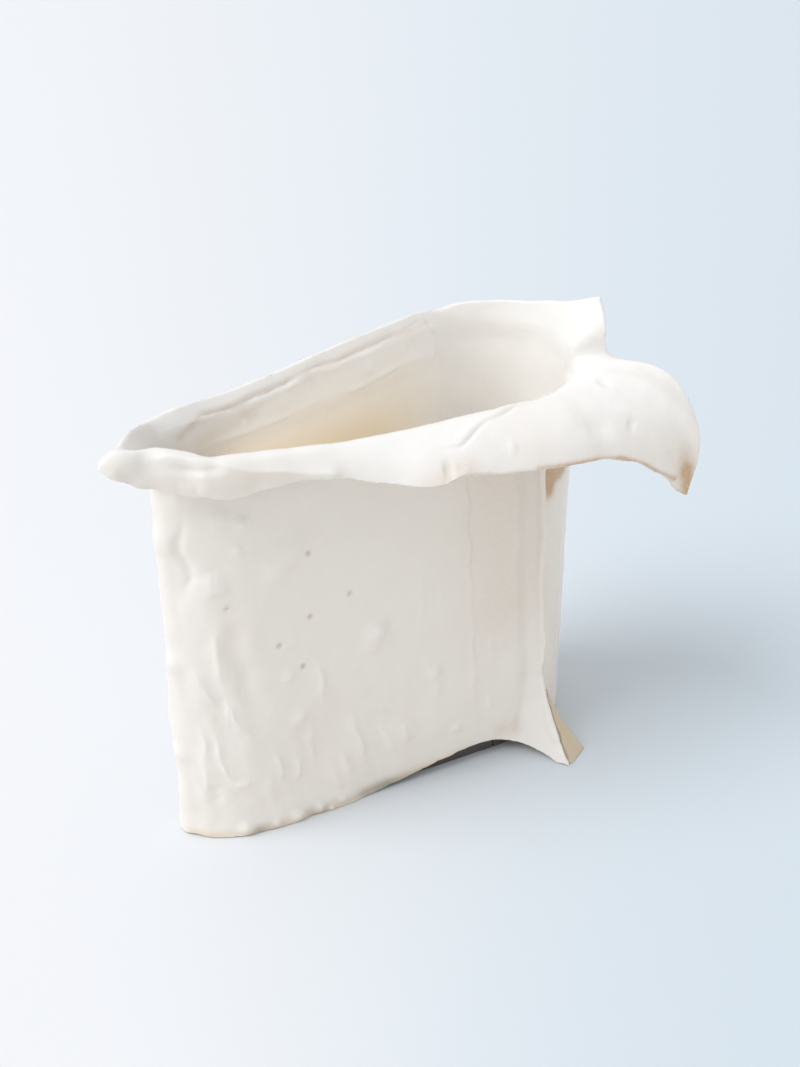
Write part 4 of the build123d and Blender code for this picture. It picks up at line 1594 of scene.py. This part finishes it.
@dataclass
class Joints:
    """The lines along which the body is cut: upright sectors for walls and rim, and the wall block."""

    outside: float = 60.0
    cavity: float = 8.0
    back_cavity: float = 7.0
    mitre_cavity: float = 14.0
    joint_depth: float = 12.0
    cavity_step: float = 3.0
    rim_margin: float = 2.0
    clear: float = 2.6
    fin_reach: float = 8.0
    fin_left: float = 12.0
    fin_right: float = 9.0
    end_from: float = -76.0
    foot_corners: tuple[Span, ...] = ((25.0, -75.0), (105.0, -75.0), (105.0, -20.0), (25.0, -20.0))
    foot_height: float = 60.0
    low: float = -5.0
    high: float = 215.0
    far_left: float = -160.0
    far_right: float = 130.0
    far_back: float = 100.0
    lap_past: float = 2.5
    lap_before: float = 90.0
    rim_middle: float = 5.0
    wing_margin: float = 40.0
    arc_steps: int = 24

    def corner_line(self) -> tuple[Vector, Vector]:
        """Outer and inner end of the mitre between front and facet."""
        return PLAN.corner + PLAN.corner_out * self.outside, PLAN.corner - PLAN.corner_out * self.cavity

    def back_line(self) -> tuple[Vector, Vector]:
        """Outer and inner end of the joint between nose and back."""
        inner = PLAN.back_start - PLAN.back_out * self.back_cavity
        return PLAN.back_start + PLAN.back_out * self.outside, inner

    def mitre_line(self) -> tuple[Vector, Vector]:
        """Outer and inner end of the mitre between back and end."""
        inner = PLAN.back_end - PLAN.mitre_out * self.mitre_cavity
        return PLAN.back_end + PLAN.mitre_out * self.outside, inner

    def cover(self, points: np.ndarray, reach: float) -> np.ndarray:
        """How near points lie to a joint between two slabs.

        Args:
            points: places, one row each.
            reach: distance at which a point no longer counts as near.

        Returns:
            A value from 0 to 1 for each point.
        """
        flat = points[:, :2]
        petal = polar(PLAN.collar_angle)
        lap = (PLAN.lap_point(-1.0) - PLAN.lap_point(0.0)).normalized()
        upright = [
            (PLAN.corner, PLAN.corner_out),
            (PLAN.back_start, PLAN.back_out),
            (PLAN.back_end, PLAN.mitre_out),
            (PLAN.end + petal * PLAN.end_radius, petal),
            (PLAN.lap_point(0.0), lap),
        ]
        at_wall = PLAN.depth(points) > -self.rim_margin
        away = np.where(at_wall, np.abs(points[:, 2] - PLAN.height), np.inf)
        for start, out in upright:
            beside = np.abs((flat - np.array(start)) @ np.array((-out.y, out.x)))
            ahead = (flat - np.array(start)) @ np.array(out) > -self.joint_depth
            away = np.minimum(away, np.where(ahead, beside, np.inf))
        return np.exp(-((away / reach) ** 2))

    def wall_block(self) -> bpy.types.Object:
        """Everything that belongs to the walls: the plan with a margin, up to the rim, and the foot."""
        margin = self.clear
        fin_y = PLAN.front_y - self.fin_reach
        nose_turn = np.linspace(90.0 + PLAN.back_angle, 270.0 - PLAN.facet_angle, self.arc_steps)
        end_turn = np.linspace(self.end_from, PLAN.back_corner_angle, self.arc_steps * 2)
        outline = [PLAN.corner + PLAN.corner_out * margin]
        outline.append(Vector((PLAN.end_x - self.fin_left, PLAN.front_y - margin)))
        outline.append(Vector((PLAN.end_x - self.fin_left, fin_y)))
        outline.append(Vector((PLAN.end_x + self.fin_right, fin_y)))
        outline.extend(PLAN.end + polar(angle, PLAN.end_radius + margin) for angle in end_turn)
        outline.append(PLAN.back_end + PLAN.back_out * margin)
        outline.extend(PLAN.nose + polar(angle, PLAN.nose_radius + margin) for angle in nose_turn)
        block = prism("wall_block", outline, outline, self.low, PLAN.height)
        foot = [Vector(corner) for corner in self.foot_corners]
        unite(block, prism("foot_block", foot, foot, self.low, self.foot_height))
        return block

    def wall_sectors(self) -> dict[str, tuple[Outline, Outline]]:
        """Outlines below and above of the region of each wall slab."""
        corner_out, corner_in = self.corner_line()
        back_out, back_in = self.back_line()
        mitre_out, mitre_in = self.mitre_line()
        lap_x = PLAN.end_x - PLAN.lap_margin
        cavity_y = PLAN.inner_y + self.cavity_step
        far_x, far_y = self.far_right, PLAN.front_y - self.outside
        above = self.high / PLAN.height
        below = self.low / PLAN.height

        def front(share: float) -> Outline:
            """Region of the front slab at a share of the wall's height."""
            return [corner_out, PLAN.seam_point(far_y, share), PLAN.seam_point(cavity_y, share), corner_in]

        def panel(share: float) -> Outline:
            """Region of the corner panel at a share of the wall's height."""
            bounds = [(far_x, far_y), (far_x, PLAN.inner_y), (lap_x, PLAN.inner_y), (lap_x, cavity_y)]
            seam = [PLAN.seam_point(cavity_y, share), PLAN.seam_point(far_y, share)]
            return [*map(Vector, bounds), *seam]

        end = [(lap_x, PLAN.inner_y), (far_x, PLAN.inner_y), (far_x, self.far_back)]
        end_outline = [*map(Vector, end), mitre_out, mitre_in, Vector((lap_x, 0.0))]
        back_outline = [back_out, back_in, mitre_in, mitre_out]
        nose_outline = self.nose_sector()
        return {
            "front_slab": (front(below), front(above)),
            "corner_panel": (panel(below), panel(above)),
            "end_slab": (end_outline, end_outline),
            "back_slab": (back_outline, back_outline),
            "nose_strip": (nose_outline, nose_outline),
        }

    def nose_sector(self) -> Outline:
        """Outline of the region of the nose."""
        corner_out, corner_in = self.corner_line()
        back_out, back_in = self.back_line()
        far = [Vector((self.far_left, back_out.y)), Vector((self.far_left, corner_out.y))]
        return [corner_out, corner_in, back_in, back_out, *far]

    def rim_sectors(self) -> dict[str, tuple[Outline, Outline]]:
        """Outlines of the region of each rim piece."""
        corner_out, corner_in = self.corner_line()
        back_out, back_in = self.back_line()
        mitre_out, mitre_in = self.mitre_line()
        lap_in = PLAN.lap_point(self.lap_past)
        lap_out = PLAN.lap_point(-self.lap_before)
        middle = PLAN.end - Vector((0.0, self.rim_middle))
        petal = PLAN.end + polar(PLAN.collar_angle, self.outside * 2)
        wing = Vector((petal.x, lap_out.y - self.wing_margin))
        outlines = {
            "front_lip": [corner_out, lap_out, lap_in, corner_in],
            "wing_lip": [lap_out, wing, petal, middle, lap_in],
            "end_collar": [middle, petal, Vector((petal.x, mitre_out.y)), mitre_out, mitre_in],
            "back_collar": [back_out, back_in, mitre_in, mitre_out],
            "pinched_tip": self.nose_sector(),
        }
        return {node: (outline, outline) for node, outline in outlines.items()}


@dataclass
class Vase:
    """The vase: slab walls with their folded rim, the foot's wedge, and the base with its coils."""

    clay: Clay = field(default_factory=Clay)
    joints: Joints = field(default_factory=Joints)
    walls: tuple[str, ...] = ("front_slab", "corner_panel", "end_slab", "back_slab", "nose_strip")
    rim: tuple[str, ...] = ("front_lip", "wing_lip", "end_collar", "back_collar", "pinched_tip")
    coils: tuple[str, ...] = (
        "front_base_coil",
        "back_base_coil",
        "end_base_coil",
        "nose_base_coil",
        "corner_coil",
    )

    def build(self, finishes: dict[Slot, bpy.types.Material]) -> None:
        """Builds and dresses every piece.

        Args:
            finishes: the material of each slot.
        """
        skin = SkinTree()
        self.build_shell(skin, finishes)
        loose = {node: Slot.CREAM_GLAZE for node in self.coils}
        loose["foot_wedge"] = Slot.TAN_CLAY
        loose["base_slab"] = Slot.BARE_PORCELAIN
        for node, slot in loose.items():
            piece = self.clay.joined(f"{node}_clay", [node])
            self.clay.ease_corner(piece)
            self.clay.skinned(piece, skin, finishes[slot])
            finish_piece(piece, node, finishes[slot])

    def build_shell(self, skin: SkinTree, finishes: dict[Slot, bpy.types.Material]) -> None:
        """Works walls and rim as one body and cuts it along the joints.

        Args:
            skin: the tree that gives the clay its skin.
            finishes: the material of each slot.
        """
        slot = Slot.WHITE_GLAZE
        crumb = CrumbTree()
        rows = [self.clay.crumbs(crumb, row) for row in CRUMB_ROWS]
        body = self.clay.joined("body", [*self.walls, *self.rim], rows)
        self.clay.worked(body, self.joints, HAND_MARKS)
        self.clay.skinned(body, skin, finishes[slot])
        surface = BodyNormals.of(body.data)
        block = self.joints.wall_block()
        wall_body = cut(body, block, "INTERSECT", "wall_body")
        rim_body = cut(body, block, "DIFFERENCE", "rim_body")
        halves = ((wall_body, self.joints.wall_sectors()), (rim_body, self.joints.rim_sectors()))
        for half, sectors in halves:
            for node, (foot, top) in sectors.items():
                tool = prism(f"{node}_cutter", foot, top, self.joints.low, self.joints.high)
                piece = cut(half, tool, "INTERSECT", f"{node}_clay")
                bpy.data.objects.remove(tool)
                finish_piece(piece, node, finishes[slot], surface)
        for scrap in (body, block, wall_body, rim_body):
            bpy.data.objects.remove(scrap)


@dataclass(frozen=True)
class Studio:
    """Pale paper floor, soft window light from the left, warm light from the room, and the camera."""

    camera_place: Point = (-221.2, -442.3, 366.0)
    camera_heading: float = 28.8
    camera_tilt: float = 28.0
    focal_pixels: float = 1400.0
    long_side_pixels: float = 1067.0
    sensor: float = 36.0
    floor_size: float = 12.0
    # Pale blue paper, with painted window light: its colour is lighter on the left and darker to the
    # right.
    paper_left: Colour = (0.80, 0.815, 0.845)
    paper_right: Colour = (0.615, 0.693, 0.76)
    paper_fade: tuple[float, float] = (-0.38, 0.38)
    paper_near: float = 0.3
    paper_roughness: float = 0.9
    bounce: Colour = (0.80, 0.75, 0.68)
    window_from: Point = (-0.64, 0.05, 0.76)
    window_strength: float = 1.66
    window_colour: Colour = (0.975, 0.988, 1.0)
    window_spread: float = 40.0
    window_side: Colour = (0.475, 0.48, 0.49)
    room_side: Colour = (0.465, 0.44, 0.405)
    overhead: Colour = (0.40, 0.40, 0.40)
    mouth_place: Point = (15.0, -23.0, 140.0)
    mouth_size: tuple[float, float] = (130.0, 30.0)
    mouth_tilt: float = 93.0
    mouth_power: float = 0.0112
    mouth_colour: Colour = (1.0, 0.95, 0.875)

    def build(self) -> None:
        """Makes floor, lamps, world and camera."""
        self.build_floor()
        self.build_window()
        self.build_mouth_light()
        self.build_world()
        self.build_camera()
        bpy.context.scene.view_settings.view_transform = "Standard"

    def build_floor(self) -> None:
        """A pale blue sheet under the vase, with painted window light: lighter on the left, darker to the
        right. It throws back a warm grey light.
        """
        half = self.floor_size / 2
        mesh = bpy.data.meshes.new("floor")
        corners = [(-half, -half, 0.0), (half, -half, 0.0), (half, half, 0.0), (-half, half, 0.0)]
        mesh.from_pydata(corners, [], [(0, 1, 2, 3)])
        floor = new_object("floor", mesh)
        material = bpy.data.materials.new("floor_paper")
        material.use_nodes = True
        material.node_tree.nodes.clear()
        wire = Wiring(material.node_tree)
        heading = math.radians(self.camera_heading)
        right = Vector((math.cos(heading), -math.sin(heading), 0.0))
        away = Vector((math.sin(heading), math.cos(heading), 0.0))
        where = wire.node("ShaderNodeTexCoord").outputs["Object"]
        seen_from = wire.vectors("SUBTRACT", where, tuple(Vector(self.camera_place) * MM))
        aside = wire.vectors("DOT_PRODUCT", seen_from, tuple(right))
        ahead = wire.maths("MAXIMUM", wire.vectors("DOT_PRODUCT", seen_from, tuple(away)), self.paper_near)
        slant = wire.maths("DIVIDE", aside, ahead)
        low, high = self.paper_fade
        inputs = {"Value": slant, "From Min": low, "From Max": high}
        fade = wire.node("ShaderNodeMapRange", inputs, interpolation_type="SMOOTHSTEP").outputs[0]
        paper = wire.blend(fade, self.paper_left, self.paper_right)
        path = wire.node("ShaderNodeLightPath").outputs
        mirrored = wire.maths("ADD", path["Is Glossy Ray"], path["Is Transmission Ray"])
        seen = wire.maths("ADD", path["Is Camera Ray"], mirrored, clamp=True)
        colour = wire.blend(seen, self.bounce, paper)
        looks = {"Base Color": colour, "Roughness": self.paper_roughness}
        surface = wire.node("ShaderNodeBsdfPrincipled", looks)
        wire.node("ShaderNodeOutputMaterial", {"Surface": surface.outputs[0]})
        mesh.materials.append(material)

    def build_window(self) -> None:
        """A broad soft light from the left."""
        data = bpy.data.lights.new("window", "SUN")
        data.energy = self.window_strength
        data.angle = math.radians(self.window_spread)
        data.color = self.window_colour
        lamp = bpy.data.objects.new("window", data)
        lamp.rotation_euler = Vector(self.window_from).to_track_quat("Z", "Y").to_euler()
        bpy.context.scene.collection.objects.link(lamp)

    def build_mouth_light(self) -> None:
        """A weak warm fill inside the vase, for the light that the white front throws on the back."""
        data = bpy.data.lights.new("mouth_fill", "AREA")
        data.shape = "RECTANGLE"
        data.size, data.size_y = (side * MM for side in self.mouth_size)
        data.energy = self.mouth_power
        data.color = self.mouth_colour
        lamp = bpy.data.objects.new("mouth_fill", data)
        lamp.location = Vector(self.mouth_place) * MM
        lamp.rotation_euler = (math.radians(self.mouth_tilt), 0.0, 0.0)
        lamp.visible_camera = False
        lamp.visible_glossy = False
        bpy.context.scene.collection.objects.link(lamp)

    def build_world(self) -> None:
        """Pale light from all around, brighter and cooler on the window's side."""
        world = bpy.data.worlds.new("studio")
        world.use_nodes = True
        world.node_tree.nodes.clear()
        wire = Wiring(world.node_tree)
        way = wire.node("ShaderNodeTexCoord").outputs["Generated"]
        inputs = {"Value": wire.vectors("DOT_PRODUCT", way, self.window_from), "From Min": -1.0}
        share = wire.node("ShaderNodeMapRange", inputs).outputs[0]
        around = wire.blend(share, self.room_side, self.window_side)
        height = wire.maths("MAXIMUM", wire.vectors("DOT_PRODUCT", way, (0.0, 0.0, 1.0)), 0.0)
        above = wire.blend(height, (0.0, 0.0, 0.0), self.overhead)
        light = wire.node("ShaderNodeBackground", {"Color": wire.vectors("ADD", around, above)})
        wire.node("ShaderNodeOutputWorld", {"Surface": light.outputs[0]})
        bpy.context.scene.world = world

    def build_camera(self) -> None:
        """The camera at the photograph's viewing angle."""
        data = bpy.data.cameras.new("photo_camera")
        data.sensor_width = self.sensor
        data.lens = self.focal_pixels / self.long_side_pixels * self.sensor
        camera = bpy.data.objects.new("photo_camera", data)
        camera.location = Vector(self.camera_place) * MM
        tilt, heading = math.radians(self.camera_tilt), math.radians(self.camera_heading)
        level = math.cos(tilt)
        aim = Vector((level * math.sin(heading), level * math.cos(heading), -math.sin(tilt)))
        camera.rotation_euler = aim.to_track_quat("-Z", "Y").to_euler()
        bpy.context.scene.collection.objects.link(camera)
        bpy.context.scene.camera = camera


def main() -> None:
    """Builds finishes, vase and studio in order."""
    logging.basicConfig(level=logging.INFO)
    layers = GlazeGroup()
    finishes = {
        Slot.WHITE_GLAZE: WHITE.build(layers),
        Slot.CREAM_GLAZE: CREAM.build(layers),
        Slot.TAN_CLAY: TAN.build(layers),
        Slot.BARE_PORCELAIN: BARE.build(layers),
    }
    Vase().build(finishes)
    Studio().build()


if __name__ == "__main__":
    main()
